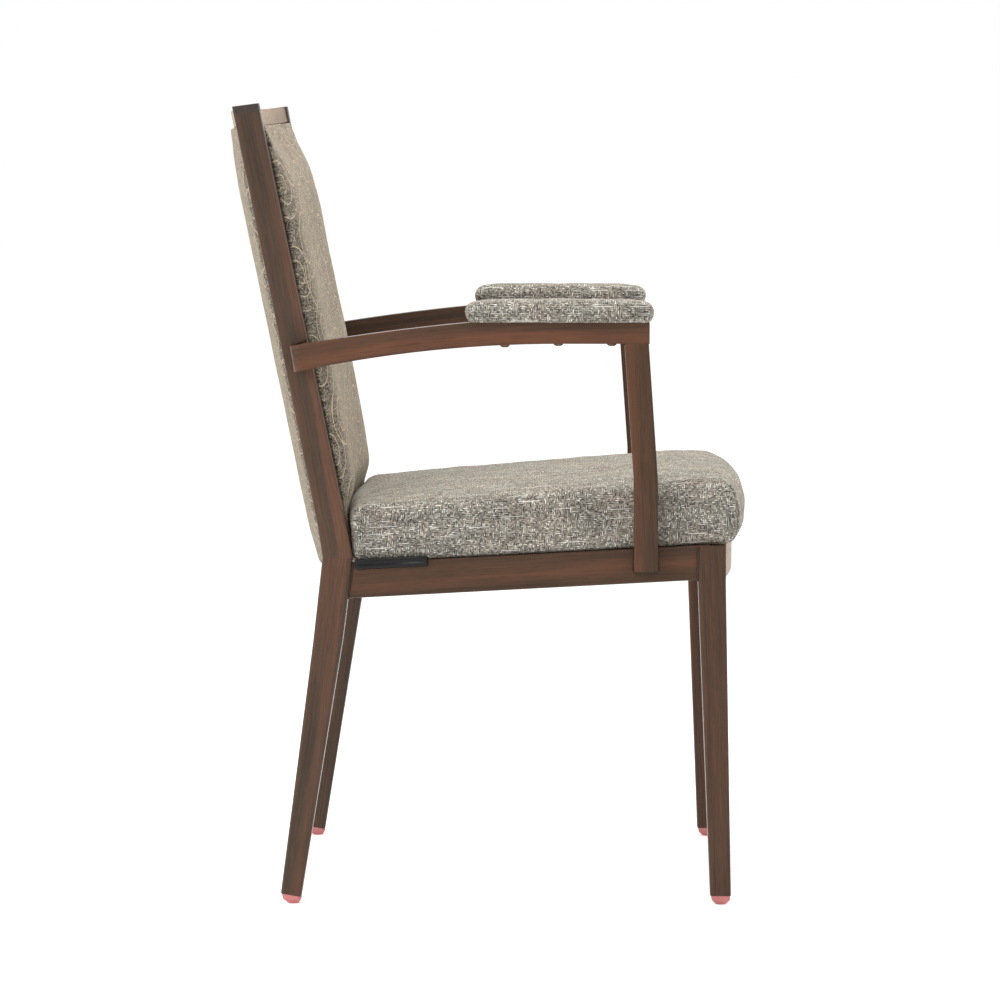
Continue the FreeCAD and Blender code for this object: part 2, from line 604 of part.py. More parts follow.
def in_front_rail_frame(item):
    # Turned half round, so that the bow points to the front
    item.Placement = FreeCAD.Placement(Vector(0, 0, 0), FreeCAD.Rotation(Vector(0, 0, 1), 180))
    bind(item, "Placement.Base.y", f"{front_leg_front} + front_rail_inset + front_rail_depth")
    bind(item, "Placement.Base.z", f"{front_leg_top} - front_rail_drop - front_rail_height")
    return item


front_rail_blank = crescent_bar("front_rail_blank", in_front_rail_frame, "0", "front_rail_depth",
                                "front_rail_bow", "0", "front_rail_height",
                                "knee_spread", "knee_spread", True)
node("front_rail", cut("front_rail_solid", front_rail_blank, both_uprights))


# Back: top rail, crossbars and boards, all bowed alike and cut off at the stiles
def stile_reach(level):
    return f"(knee_spread + (stile_top_spread - knee_spread) * ({level}) / {stile_length})"


def back_bar(name, near, depth, low, height, hollow=False):
    return crescent_bar(name, in_back_frame, near, depth, "back_bow", low, height,
                        stile_reach(low), stile_reach(f"{low} + {height}"), hollow)


top_rail_low = f"({stile_length} - top_rail_drop - top_rail_height)"
top_rail_blank = back_bar("top_rail_blank", "top_rail_inset", "top_rail_depth", top_rail_low,
                          "top_rail_height", True)
node("top_rail", cut("top_rail_solid", top_rail_blank, both_uprights))

crossbar_near = "(front_board_thickness + fit_gap)"
rear_board_near = f"({crossbar_near} + crossbar_depth + fit_gap)"
crossbar_high = f"({top_rail_low} - crossbar_top_gap - crossbar_height)"
crossbar_levels = [("lower", "crossbar_low"), ("upper", crossbar_high)]


def back_screw_set(name, diameter, head, extra):
    # Screws from the back of the crossbars into the front board, with their heads sunk in
    pieces = []
    for level_name, level in crossbar_levels:
        for side in (-1, 1):
            sagitta = "(back_bow * (1 - (back_screw_spread / knee_spread) ^ 2))"
            head_face = f"({crossbar_near} + crossbar_depth + {sagitta} - back_screw_sink)"
            height = f"{level} + crossbar_height / 2"
            tag = f"{name}_{level_name}_{'left' if side > 0 else 'right'}"
            across = f"{side} * back_screw_spread"
            shank_length = "(crossbar_depth + 0.6 * front_board_thickness)"
            shank = cylinder(f"{tag}_shank", across, head_face, height, diameter, shank_length,
                             Vector(0, -1, 0))
            head_item = cylinder(f"{tag}_head", across, f"{head_face} + {extra}", height, head,
                                 f"back_screw_head_height + {extra}", Vector(0, -1, 0))
            pieces.append(fuse(tag, shank, head_item))
    return placed(name, pieces, in_back_frame)


back_screws = back_screw_set("back_screw_group", "back_screw_diameter", "back_screw_head", "0")
back_screw_holes = back_screw_set("back_screw_holes", "back_screw_diameter + screw_clearance",
                                  "back_screw_head + screw_clearance", "back_screw_access")
node("back_screws", back_screws, 4)
for level_name, level in crossbar_levels:
    bar = back_bar(f"crossbar_{level_name}_blank", crossbar_near, "crossbar_depth", level, "crossbar_height")
    node(f"back_crossbar_{level_name}",
         cut(f"crossbar_{level_name}_solid", bar, both_uprights, back_screw_holes))
front_board_blank = back_bar("front_board_blank", "0", "front_board_thickness", "0", pad_top)
node("back_front_board", cut("front_board_solid", front_board_blank, both_uprights, back_screw_holes))
rear_board_blank = back_bar("rear_board_blank", rear_board_near, "rear_board_thickness", "0", pad_top)
node("back_rear_board", cut("rear_board_solid", rear_board_blank, both_uprights))


# Arms
def arm_profile(sketch, inset):
    # Side view of the arm rail: flat under the pad, then curved down to the stile
    top = f"(arm_height - {inset})"
    under = f"({arm_under} + {inset})"
    front = f"(knee_front - arm_reach + {inset})"
    bend = "(knee_front - arm_bend)"
    start = "(knee_front - arm_curve_start)"
    tail = f"(knee_front + arm_tail - {inset})"
    tail_top = f"(arm_height - arm_tail_drop - {inset})"
    tail_low = f"({tail} - arm_tail_slant)"
    under_radius = f"(arm_under_radius + {inset})"
    top_radius = f"(arm_top_radius - {inset})"
    tail_under = f"({under} - {under_radius} + sqrt({under_radius} ^ 2 - ({tail_low} - {start}) ^ 2))"
    texts = [(tail, tail_top), (bend, top), (front, top), (front, under), (start, under),
             (tail_low, tail_under)]
    points = [Vector(number(across), number(up)) for across, up in texts]

    def arc_between(first, second, radius):
        chord = second - first
        middle = (first + second) / 2
        rise = math.sqrt(radius ** 2 - (chord.Length / 2) ** 2)
        normal = Vector(chord.y, -chord.x).normalize()
        centre = middle + normal * rise * (1 if normal.y < 0 else -1)
        angles = [math.atan2(point.y - centre.y, point.x - centre.x) for point in (first, second)]
        circle = Part.Circle(centre, Vector(0, 0, 1), radius)
        return Part.ArcOfCircle(circle, min(angles), max(angles))

    top_arc = sketch.addGeometry(arc_between(points[0], points[1], number(top_radius)), False)
    flat = sketch.addGeometry(Part.LineSegment(points[1], points[2]), False)
    end = sketch.addGeometry(Part.LineSegment(points[2], points[3]), False)
    under_line = sketch.addGeometry(Part.LineSegment(points[3], points[4]), False)
    under_arc = sketch.addGeometry(arc_between(points[4], points[5], number(under_radius)), False)
    tail_line = sketch.addGeometry(Part.LineSegment(points[5], points[0]), False)
    joints = [(top_arc, 2, flat, 1), (flat, 2, end, 1), (end, 2, under_line, 1),
              (under_line, 2, under_arc, 2), (under_arc, 1, tail_line, 1), (tail_line, 2, top_arc, 1)]
    for joint in joints:
        sketch.addConstraint(Sketcher.Constraint("Coincident", *joint))
    corners = [("tail", top_arc, 1), ("bend", top_arc, 2), ("front", flat, 2), ("heel", end, 2),
               ("start", under_line, 2), ("tail_low", under_arc, 1)]
    for (name, curve, at), (across, up), point in zip(corners, texts, points):
        index = sketch.addConstraint(Sketcher.Constraint("DistanceX", -1, 1, curve, at, point.x))
        bind_named(sketch, index, f"{name}_y", across)
        index = sketch.addConstraint(Sketcher.Constraint("DistanceY", -1, 1, curve, at, point.y))
        bind_named(sketch, index, f"{name}_z", up)
    curves = [("top_radius", top_arc, top_radius), ("under_radius", under_arc, under_radius)]
    for name, curve, radius in curves:
        index = sketch.addConstraint(Sketcher.Constraint("Radius", curve, number(radius)))
        bind_named(sketch, index, name, radius)


def arm_pad_body(name, inset, width):
    body = new_body(name)
    sketch = new_sketch(body, f"{name}_profile", "YZ_Plane", "0", "0", "-arm_spread")
    arm_profile(sketch, inset)
    pad = body.newObject("PartDesign::Pad", f"{name}_pad")
    pad.Profile = sketch
    pad.SideType = "Symmetric"
    bind(pad, "Length", width)
    return body


arm_body = arm_pad_body("arm_rail_blank", "0", "arm_width")
doc.recompute()
tail_edges = []
for place, edge in enumerate(arm_body.Tip.Shape.Edges, start=1):
    ends = [vertex.Point for vertex in edge.Vertexes]
    outer = all(point.x < -number("arm_spread") for point in ends)
    behind = all(point.y > number("knee_front") for point in ends)
    if outer and behind and abs(ends[0].z - ends[1].z) > 1:
        tail_edges.append(f"Edge{place}")
arm_pad_feature = arm_body.Tip
rounding = arm_body.newObject("PartDesign::Fillet", "arm_tail_rounding")
rounding.Base = (arm_pad_feature, tail_edges)
bind(rounding, "Radius", "arm_tail_round")
arm_hollow = arm_pad_body("arm_rail_hollow", "tube_wall", "arm_width - 2 * tube_wall")
tail_block = box("arm_tail_block", "-2 * arm_spread", "knee_front - tube_wall", "0",
                 "2 * arm_spread", "2 * arm_tail", "2 * arm_height")
arm_hollow = cut("arm_rail_hollow_front", arm_hollow, tail_block)
arm_form = cut("arm_rail_form", arm_body, upright_forms)

screw_places = [f"({pad_middle} + {step} * pad_screw_pitch + pad_screw_shift)" for step in (-1, 0, 1)]


def screw_seat(along):
    # Height of the arm underside at the rear edge of a screw head
    past = f"max({along} + pad_screw_head / 2 - (knee_front - arm_curve_start); 0)"
    return f"({arm_under} - arm_under_radius + sqrt(arm_under_radius ^ 2 - {past} ^ 2))"


hole_set = []
pad_screws = []
for place, along in enumerate(screw_places):
    seat = screw_seat(along)
    hole_set.append(cylinder(f"arm_screw_hole_{place}", "-arm_spread", along,
                             f"{seat} - pad_screw_head_height", "pad_screw_diameter + screw_clearance",
                             "arm_depth + 2 * pad_screw_head_height + screw_grip"))
    shank = cylinder(f"pad_screw_shank_{place}", "-arm_spread", along, seat, "pad_screw_diameter",
                     f"arm_height + screw_grip - {seat}")
    head = cylinder(f"pad_screw_head_{place}", "-arm_spread", along, f"{seat} - pad_screw_head_height",
                    "pad_screw_head", "pad_screw_head_height")
    pad_screws.append(fuse(f"pad_screw_{place}", shank, head))
arm_holes = fuse("arm_screw_holes", *hole_set)
node_pair("arm_rail", cut("arm_rail_tube", arm_form, arm_hollow, arm_holes))
pad_screw_group = doc.addObject("Part::Compound", "pad_screw_group")
pad_screw_group.Links = pad_screws
node_pair("arm_pad_screws", pad_screw_group, 3)

post_foot_x = f"-({rail_outer} - post_bite + arm_width / 2)"
post_foot_y = "(knee_front - post_foot_place)"
post_top_y = f"({post_foot_y} + post_lean)"
post_bend_share = "((post_bend_height - post_foot_height) / (arm_height - arm_depth - post_foot_height))"
post_bend_x = f"({post_foot_x} + (-arm_spread - {post_foot_x}) * {post_bend_share})"
post_stations = [
    (post_foot_x, post_foot_y, "post_foot_height", "arm_width", "post_depth", "arm_corner"),
    (post_bend_x, f"{post_foot_y} + 0.05 * post_lean", "post_bend_height",
     "arm_width", "post_depth", "arm_corner"),
    ("-arm_spread", post_top_y, arm_under, "arm_width", "post_depth", "arm_corner"),
]
post_blank = section_loft("arm_post_blank", post_stations)
post_hollow = section_loft("arm_post_hollow", post_stations, "tube_wall")
node_pair("arm_post", cut("arm_post_tube", post_blank, side_rail_solid, post_hollow))
plug_plate = section_loft("arm_post_plug_plate", [
    (post_foot_x, post_foot_y, "post_foot_height - post_plug_thickness",
     "arm_width", "post_depth", "arm_corner"),
    (post_foot_x, post_foot_y, "post_foot_height", "arm_width", "post_depth", "arm_corner"),
])
plug_slab = box("arm_post_plug_slab", "-2 * arm_spread", f"{post_foot_y} - post_depth", "post_foot_height",
                "2 * arm_spread", "2 * post_depth", "spigot_length")
plug_spigot = boolean("Part::Common", "arm_post_plug_spigot", post_hollow, plug_slab)
plug_whole = fuse("arm_post_plug_whole", plug_plate, plug_spigot)
node_pair("arm_post_plug", cut("arm_post_plug_solid", plug_whole, side_rail_solid))


# Upholstery: lofts through outlines of lines and arcs, read from the same sizes
def three_point(start, middle, end):
    return Part.Arc(Vector(*start), Vector(*middle), Vector(*end)).toShape()


def cushion_outline(left, right, front, rear, corners, bows, height, fall=0):
    # A rectangle with arc corners whose sides bow out; it may fall towards the rear
    bow_side, bow_front, bow_rear = bows
    front_corner, rear_corner = corners
    middle_x = (left + right) / 2
    middle_y = (front + rear) / 2
    front_turn = front_corner * (1 - math.sqrt(0.5))
    rear_turn = rear_corner * (1 - math.sqrt(0.5))

    def point(x, y):
        return (x, y, height - fall * (y - front) / (rear - front))

    stops = [
        (left + front_corner, front), (middle_x, front - bow_front),
        (right - front_corner, front), (right - front_turn, front + front_turn),
        (right, front + front_corner), (right + bow_side, middle_y),
        (right, rear - rear_corner), (right - rear_turn, rear - rear_turn),
        (right - rear_corner, rear), (middle_x, rear + bow_rear),
        (left + rear_corner, rear), (left + rear_turn, rear - rear_turn),
        (left, rear - rear_corner), (left - bow_side, middle_y),
        (left, front + front_corner), (left + front_turn, front + front_turn),
    ]
    edges = []
    for place in range(0, len(stops), 2):
        triple = [stops[(place + step) % len(stops)] for step in range(3)]
        edges.append(three_point(*(point(*stop) for stop in triple)))
    return Part.Wire(edges)


def soft_piece(name, shape, frame=None):
    item = doc.addObject("Part::Feature", name)
    item.Shape = shape
    if frame:
        frame(item)
    return item


def seat_cushion_form():
    half = number("cushion_width") / 2
    rear = -number("cushion_rear_gap")
    front = rear - number("cushion_length")
    side = number("cushion_side_height")
    crown = number("cushion_crown")
    bows = (number("cushion_side_bow"), number("cushion_front_bow"), number("cushion_rear_bow"))
    # Height, tucks of the sides, front and rear, and radii of the front and rear corners of each outline
    levels = [
        (number("soft_gap"), 6, 10, 4, (14, 9)),
        (0.18 * side, 1.5, 2.5, 0.5, (16, 9)),
        (0.50 * side, 0, 0, -2, (17, 10)),
        (0.80 * side, 1, 4, -4.5, (18, 11)),
        (0.95 * side, 5, 11, -3, (20, 13)),
        (side + 0.22 * crown, 18, 23, 6, (26, 22)),
        (side + 0.62 * crown, 70, 44, 66, (44, 44)),
        (side + crown, 150, 78, 150, (50, 50)),
    ]
    wires = []
    for height, tuck, tuck_front, tuck_rear, corners in levels:
        outline_length = rear - tuck_rear - front - tuck_front
        share = min(height / side, 1)
        fall = share * number("cushion_rear_fall") * outline_length / number("cushion_length")
        wires.append(cushion_outline(tuck - half, half - tuck, front + tuck_front, rear - tuck_rear,
                                     corners, bows, height, fall))
    return Part.makeLoft(wires, True, True)


board_length = "(cushion_length - 2 * seat_board_margin - cushion_rear_gap)"
board_front = "(-cushion_rear_gap - cushion_length + 1.6 * seat_board_margin)"
board_half = "(cushion_width / 2 - seat_board_margin)"


def seat_block(name, x, y, z, width, depth, height):
    return in_seat_frame(box(name, x, y, z, width, depth, height))


seat_tab_reach_x = f"({rail_outer} - {rail_width} - seat_tab_reach)"
tab_places = [("front", "-(frame_gap - seat_tab_place)"), ("rear", "-seat_tab_place")]


def seat_screw_set(name, diameter, head, clearance):
    pieces = []
    for place_name, along in tab_places:
        for side in (-1, 1):
            tag = f"{name}_{place_name}_{'left' if side > 0 else 'right'}"
            across = f"{side} * ({seat_tab_reach_x} + seat_tab_reach / 2)"
            shank = cylinder(f"{tag}_shank", across, along, "-seat_tab_thickness", diameter,
                             f"seat_tab_thickness + screw_grip + {clearance}")
            head_item = cylinder(f"{tag}_head", across, along, f"-seat_tab_thickness - {head}_height",
                                 head, f"{head}_height")
            pieces.append(fuse(tag, shank, head_item))
    return placed(name, pieces, in_seat_frame)


seat_screw_holes = seat_screw_set("seat_screw_holes", "seat_screw_diameter + screw_clearance",
                                  "seat_screw_head", "screw_clearance")
node("seat_screws", seat_screw_set("seat_screw_group", "seat_screw_diameter", "seat_screw_head", "0"), 4)
seat_board_blank = seat_block("seat_board_blank", f"-{board_half}", board_front, "0",
                              f"2 * {board_half}", board_length, "seat_board_thickness")
node("seat_board", cut("seat_board_solid", seat_board_blank, seat_screw_holes))
for place_name, along in tab_places:
    tab = seat_block(f"seat_tab_{place_name}_blank", f"-({rail_outer} - {rail_width})",
                     f"{along} - seat_tab_length / 2", "-seat_tab_thickness",
                     "seat_tab_reach", "seat_tab_length", "seat_tab_thickness")
    node_pair(f"seat_tab_{place_name}", cut(f"seat_tab_{place_name}_solid", tab, seat_screw_holes))
dust_half = f"({seat_tab_reach_x} - dust_cover_margin)"
node("dust_cover", seat_block("dust_cover_sheet", f"-{dust_half}", board_front, "-dust_cover_thickness",
                              f"2 * {dust_half}", board_length, "dust_cover_thickness"))

cushion_blank = soft_piece("seat_cushion_form", seat_cushion_form(), in_seat_frame)
board_pocket = seat_block("seat_board_pocket", f"-{board_half} - soft_gap", f"{board_front} - soft_gap", "0",
                          f"2 * {board_half} + 2 * soft_gap", f"{board_length} + 2 * soft_gap",
                          "seat_board_thickness + soft_gap")
node("seat_cushion", cut("seat_cushion_solid", cushion_blank, board_pocket))


def arm_pad_form():
    half = number("arm_pad_width") / 2
    middle = -number("arm_spread")
    front = number(pad_front)
    rear = front + number("arm_pad_length")
    base = number("arm_height") + number("fit_gap")
    height = number("arm_pad_height")
    # Share of the height, tuck of the sides, tuck of the ends and radius of the corners of each outline
    levels = [
        (0.0, 4.0, 5.0, 10),
        (0.22, 0.8, 1.2, 12),
        (0.50, 0.0, 0.0, 12),
        (0.76, 1.6, 3.0, 12),
        (0.91, 6.0, 10.0, 12),
        (1.0, 14.0, 26.0, 10),
    ]
    end_bow = number("arm_pad_end_bow")
    bows = (number("arm_pad_side_bow"), end_bow, end_bow)
    wires = [cushion_outline(middle - half + side, middle + half - side, front + end, rear - end,
                             (corner, corner), bows, base + share * height)
             for share, side, end, corner in levels]
    return Part.makeLoft(wires, True, True)


pad_board_length = "(arm_pad_length - 2 * pad_board_margin - arm_pad_overhang)"
pad_board_front = f"({pad_front} + arm_pad_overhang + pad_board_margin)"
pad_board_blank = box("pad_board_blank", "-arm_spread - pad_board_width / 2", pad_board_front, "arm_height",
                      "pad_board_width", pad_board_length, "pad_board_thickness")
node_pair("arm_pad_board", cut("pad_board_solid", pad_board_blank, arm_holes))
pad_pocket = box("pad_board_pocket", "-arm_spread - pad_board_width / 2 - soft_gap",
                 f"{pad_board_front} - soft_gap", "arm_height", "pad_board_width + 2 * soft_gap",
                 f"{pad_board_length} + 2 * soft_gap", "pad_board_thickness + soft_gap")
node_pair("arm_pad", cut("arm_pad_solid", soft_piece("arm_pad_form", arm_pad_form()), pad_pocket))


def bow_at(across, reach):
    # Backward bow of the back at a distance from its middle, between stiles that far apart
    bow = number("back_bow")
    radius = (reach ** 2 + bow ** 2) / (2 * bow)
    return bow - radius + math.sqrt(radius ** 2 - across ** 2)


def bowed_outline(stile_middle, near, far, lip, height):
    # One slice of a back pad: it follows the bow of its board and rounds off at both ends
    edge = stile_middle - number("leg_width") / 2 - number("back_pad_side_gap")
    inner = edge - lip
    shoulder = edge - 0.30 * lip
    plump = math.copysign(number("back_pad_plump"), far - near)
    near_edge = near + bow_at(edge, stile_middle)
    far_inner = far + bow_at(inner, stile_middle)
    far_shoulder = near + 0.69 * (far - near) + bow_at(shoulder, stile_middle)
    edges = [
        three_point((-edge, near_edge, height), (0, near + bow_at(0, stile_middle), height),
                    (edge, near_edge, height)),
        three_point((edge, near_edge, height), (shoulder, far_shoulder, height), (inner, far_inner, height)),
        three_point((inner, far_inner, height), (0, far + plump + bow_at(0, stile_middle), height),
                    (-inner, far_inner, height)),
        three_point((-inner, far_inner, height), (-shoulder, far_shoulder, height),
                    (-edge, near_edge, height)),
    ]
    return Part.Wire(edges)


def back_pad_form(seat_face, direction, thickness, lip, slices):
    # Slices from the bottom edge to the top edge: place along the pad and share of the full thickness
    near = seat_face + direction * number("soft_gap")
    wires = []
    for level, share in slices:
        stile_middle = number(stile_reach(f"{max(level, 0)}"))
        wires.append(bowed_outline(stile_middle, near, near + direction * share * thickness, lip, level))
    return Part.makeLoft(wires, True, True)


top_edge = number(pad_top)
front_slices = [(2, 0.14), (30, 0.18), (58, 0.32), (78, 0.72), (100, 0.96), (140, 1.0), (0.5 * top_edge, 1.0),
                (top_edge - 100, 1.0), (top_edge - 58, 0.88), (top_edge - 26, 0.56), (top_edge - 8, 0.24),
                (top_edge, 0.10)]
front_pad_shape = back_pad_form(0, -1, number("front_pad_thickness"), number("front_pad_lip"), front_slices)
node("back_front_pad", soft_piece("back_front_pad_form", front_pad_shape, in_back_frame))
rear_face = number(f"{rear_board_near} + rear_board_thickness")
rear_slices = [(-number("back_pad_bottom"), 0.26), (-number("back_pad_bottom") + 8, 0.68), (30, 1.0),
               (0.5 * top_edge, 1.0), (top_edge - 60, 0.96), (top_edge - 24, 0.70), (top_edge - 7, 0.34),
               (top_edge, 0.10)]
rear_pad_shape = back_pad_form(rear_face, 1, number("rear_pad_thickness"), number("rear_pad_lip"),
                               rear_slices)
node("back_rear_pad", soft_piece("back_rear_pad_form", rear_pad_shape, in_back_frame))

doc.recompute()

faults = [item.Name for item in doc.Objects if {"Invalid", "Error"} & set(item.State)]
for name, (item, solids) in nodes.items():
    shape = item.Shape
    if shape.isNull():
        faults.append(f"{name} has no shape")
    elif not shape.isValid() or len(shape.Solids) != solids:
        faults.append(f"{name} has {len(shape.Solids)} solids, valid {shape.isValid()}")
if faults:
    raise RuntimeError("; ".join(faults))
os.makedirs("parts", exist_ok=True)
whole = FreeCAD.BoundBox()
for name, (item, solids) in nodes.items():
    item.Shape.exportStep(f"parts/{name}.step")
    whole.add(item.Shape.BoundBox)
print(f"{len(nodes)} nodes, box {whole}")
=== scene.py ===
import bpy
import bmesh
import math
import numpy as np
from mathutils import Matrix, Vector
from mathutils.bvhtree import BVHTree


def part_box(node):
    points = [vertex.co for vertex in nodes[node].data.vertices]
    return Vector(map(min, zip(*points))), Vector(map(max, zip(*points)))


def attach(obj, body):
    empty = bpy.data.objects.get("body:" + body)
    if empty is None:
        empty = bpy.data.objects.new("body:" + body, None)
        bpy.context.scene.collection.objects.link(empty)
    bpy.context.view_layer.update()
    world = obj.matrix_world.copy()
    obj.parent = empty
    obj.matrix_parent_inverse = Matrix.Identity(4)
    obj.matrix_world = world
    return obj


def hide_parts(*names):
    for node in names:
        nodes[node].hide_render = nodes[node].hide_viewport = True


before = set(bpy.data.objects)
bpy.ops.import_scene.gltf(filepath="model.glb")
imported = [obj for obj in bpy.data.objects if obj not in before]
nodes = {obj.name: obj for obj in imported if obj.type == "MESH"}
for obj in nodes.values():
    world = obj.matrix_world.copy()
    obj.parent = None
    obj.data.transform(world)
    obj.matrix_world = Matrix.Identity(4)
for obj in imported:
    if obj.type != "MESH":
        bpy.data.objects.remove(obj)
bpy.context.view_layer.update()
scene = bpy.context.scene

# where the frame bends, as in the CAD
chair = dict(kneeFront=0.14955, kneeHeight=0.391, seatDrop=0.0064,
             lean=math.radians(11.45), pitch=math.radians(3.1),
             kneeSpread=0.2295, stileTopSpread=0.250, stileLength=0.5193, backBow=0.0225,
             armBend=-0.083, armRadius=1.39)


def tiltedTo(co, height, angle):            # world to a frame that leans back at the knee
    y = co[:, 1] - chair["kneeFront"]
    z = co[:, 2] - height
    c, s = math.cos(angle), math.sin(angle)
    return np.stack([co[:, 0], y * c - z * s, y * s + z * c], 1)


def tiltedFrom(co, height, angle):
    c, s = math.cos(angle), math.sin(angle)
    return np.stack([co[:, 0], co[:, 1] * c + co[:, 2] * s + chair["kneeFront"],
                     co[:, 2] * c - co[:, 1] * s + height], 1)


def toSeat(co):                             # z = 0 on top of the side rails
    return tiltedTo(co, chair["kneeHeight"] - chair["seatDrop"], chair["pitch"])


def fromSeat(co):
    return tiltedFrom(co, chair["kneeHeight"] - chair["seatDrop"], chair["pitch"])


def toBack(co):                             # z up the stiles, y = 0 on their front face
    return tiltedTo(co, chair["kneeHeight"], chair["lean"])


def fromBack(co):
    return tiltedFrom(co, chair["kneeHeight"], chair["lean"])


def asIs(co):
    return co


def ramp(value, start, length):             # 0 at the start, 1 a length further on
    return np.clip((value - start) / length, 0, 1)


def stileMiddle(up):                        # half the distance between the stiles, up the back
    widening = chair["stileTopSpread"] - chair["kneeSpread"]
    return chair["kneeSpread"] + widening * np.maximum(up, 0) / chair["stileLength"]


def bowAt(x, up=0.25):                      # backward bow of the back across the chair
    bow, reach = chair["backBow"], stileMiddle(up)
    radius = (reach ** 2 + bow ** 2) / (2 * bow)
    return bow - radius + np.sqrt(radius ** 2 - x ** 2)


class Shade:                                # one shader socket that takes part in sums
    def __init__(self, tree, socket=None):
        self.tree = tree
        self.socket = socket

    def make(self, kind, settings=None, inputs=None, out=0):
        node = self.tree.nodes.new(kind)
        for key, value in (settings or {}).items():
            setattr(node, key, value)
        for key, value in (inputs or {}).items():
            if isinstance(value, Shade):
                self.tree.links.new(value.socket, node.inputs[key])
            else:
                node.inputs[key].default_value = value
        return Shade(self.tree, node.outputs[out] if out is not None else None)

    def sum(self, operation, *terms):
        return self.make("ShaderNodeMath", {"operation": operation}, dict(enumerate(terms)))

    def __add__(self, other): return self.sum("ADD", self, other)
    def __radd__(self, other): return self.sum("ADD", other, self)
    def __sub__(self, other): return self.sum("SUBTRACT", self, other)
    def __rsub__(self, other): return self.sum("SUBTRACT", other, self)
    def __mul__(self, other): return self.sum("MULTIPLY", self, other)
    def __rmul__(self, other): return self.sum("MULTIPLY", other, self)
    def __truediv__(self, other): return self.sum("DIVIDE", self, other)

    def step(self, low, high):              # 0 at low, 1 at high, smooth between
        return self.make("ShaderNodeMapRange", {"interpolation_type": "SMOOTHSTEP"},
                         {0: self, 1: low, 2: high, 3: 0.0, 4: 1.0})

    def noise(self, where, scale, detail=2.0, rough=0.5):
        return self.make("ShaderNodeTexNoise", None,
                         {"Vector": where, "Scale": scale, "Detail": detail, "Roughness": rough})

    def chance(self, where, dimensions="3D"):
        return self.make("ShaderNodeTexWhiteNoise", {"noise_dimensions": dimensions},
                         {"Vector": where})

    def vector(self, x, y, z):
        return self.make("ShaderNodeCombineXYZ", None, {0: x, 1: y, 2: z})

    def parts(self):
        return [self.make("ShaderNodeSeparateXYZ", None, {0: self}, out) for out in range(3)]

    def stretch(self, x, y, z):
        return self.make("ShaderNodeVectorMath", {"operation": "MULTIPLY"},
                         {0: self, 1: (x, y, z)})

    def tint(self, first, second):          # from the first colour to the second by this value
        return self.make("ShaderNodeMix", {"data_type": "RGBA"},
                         {0: self, 6: first, 7: second}, 2)

    def dyed(self, colour):                 # this colour times another
        return self.make("ShaderNodeMix", {"data_type": "RGBA", "blend_type": "MULTIPLY"},
                         {0: 1.0, 6: self, 7: colour}, 2)


def newFinish(name):
    finish = bpy.data.materials.new(name)
    finish.use_nodes = True
    finish.node_tree.nodes.clear()
    return finish, Shade(finish.node_tree)


def surface(s, bump, depth, strength=0.55, **sockets):
    inputs = {key.replace("_", " "): value for key, value in sockets.items()}
    inputs["Normal"] = s.make("ShaderNodeBump", None,
                              {"Strength": strength, "Distance": depth, "Height": bump})
    coat = s.make("ShaderNodeBsdfPrincipled", None, inputs)
    s.make("ShaderNodeOutputMaterial", None, {0: coat}, None)


def rgb(r, g, b):
    return (r, g, b, 1.0)


# wood-grain coating on the aluminium tubes: colours, then streaks per metre across and along
walnut = dict(dark=(0.042, 0.027, 0.020), mid=(0.088, 0.049, 0.032), warm=(0.165, 0.070, 0.040),
              pore=(0.026, 0.016, 0.011), glare=rgb(1.0, 0.86, 0.72), haze=rgb(1.0, 0.77, 0.52),
              wander=(5, 5, 2.0), sway=0.026, broad=(46, 46, 1.6), streak=(190, 190, 3.6),
              fine=(900, 900, 16), pores=(1700, 1700, 45), cloud=(30, 30, 9),
              shift=0.37, bump=0.00012)
walnutMade = {}


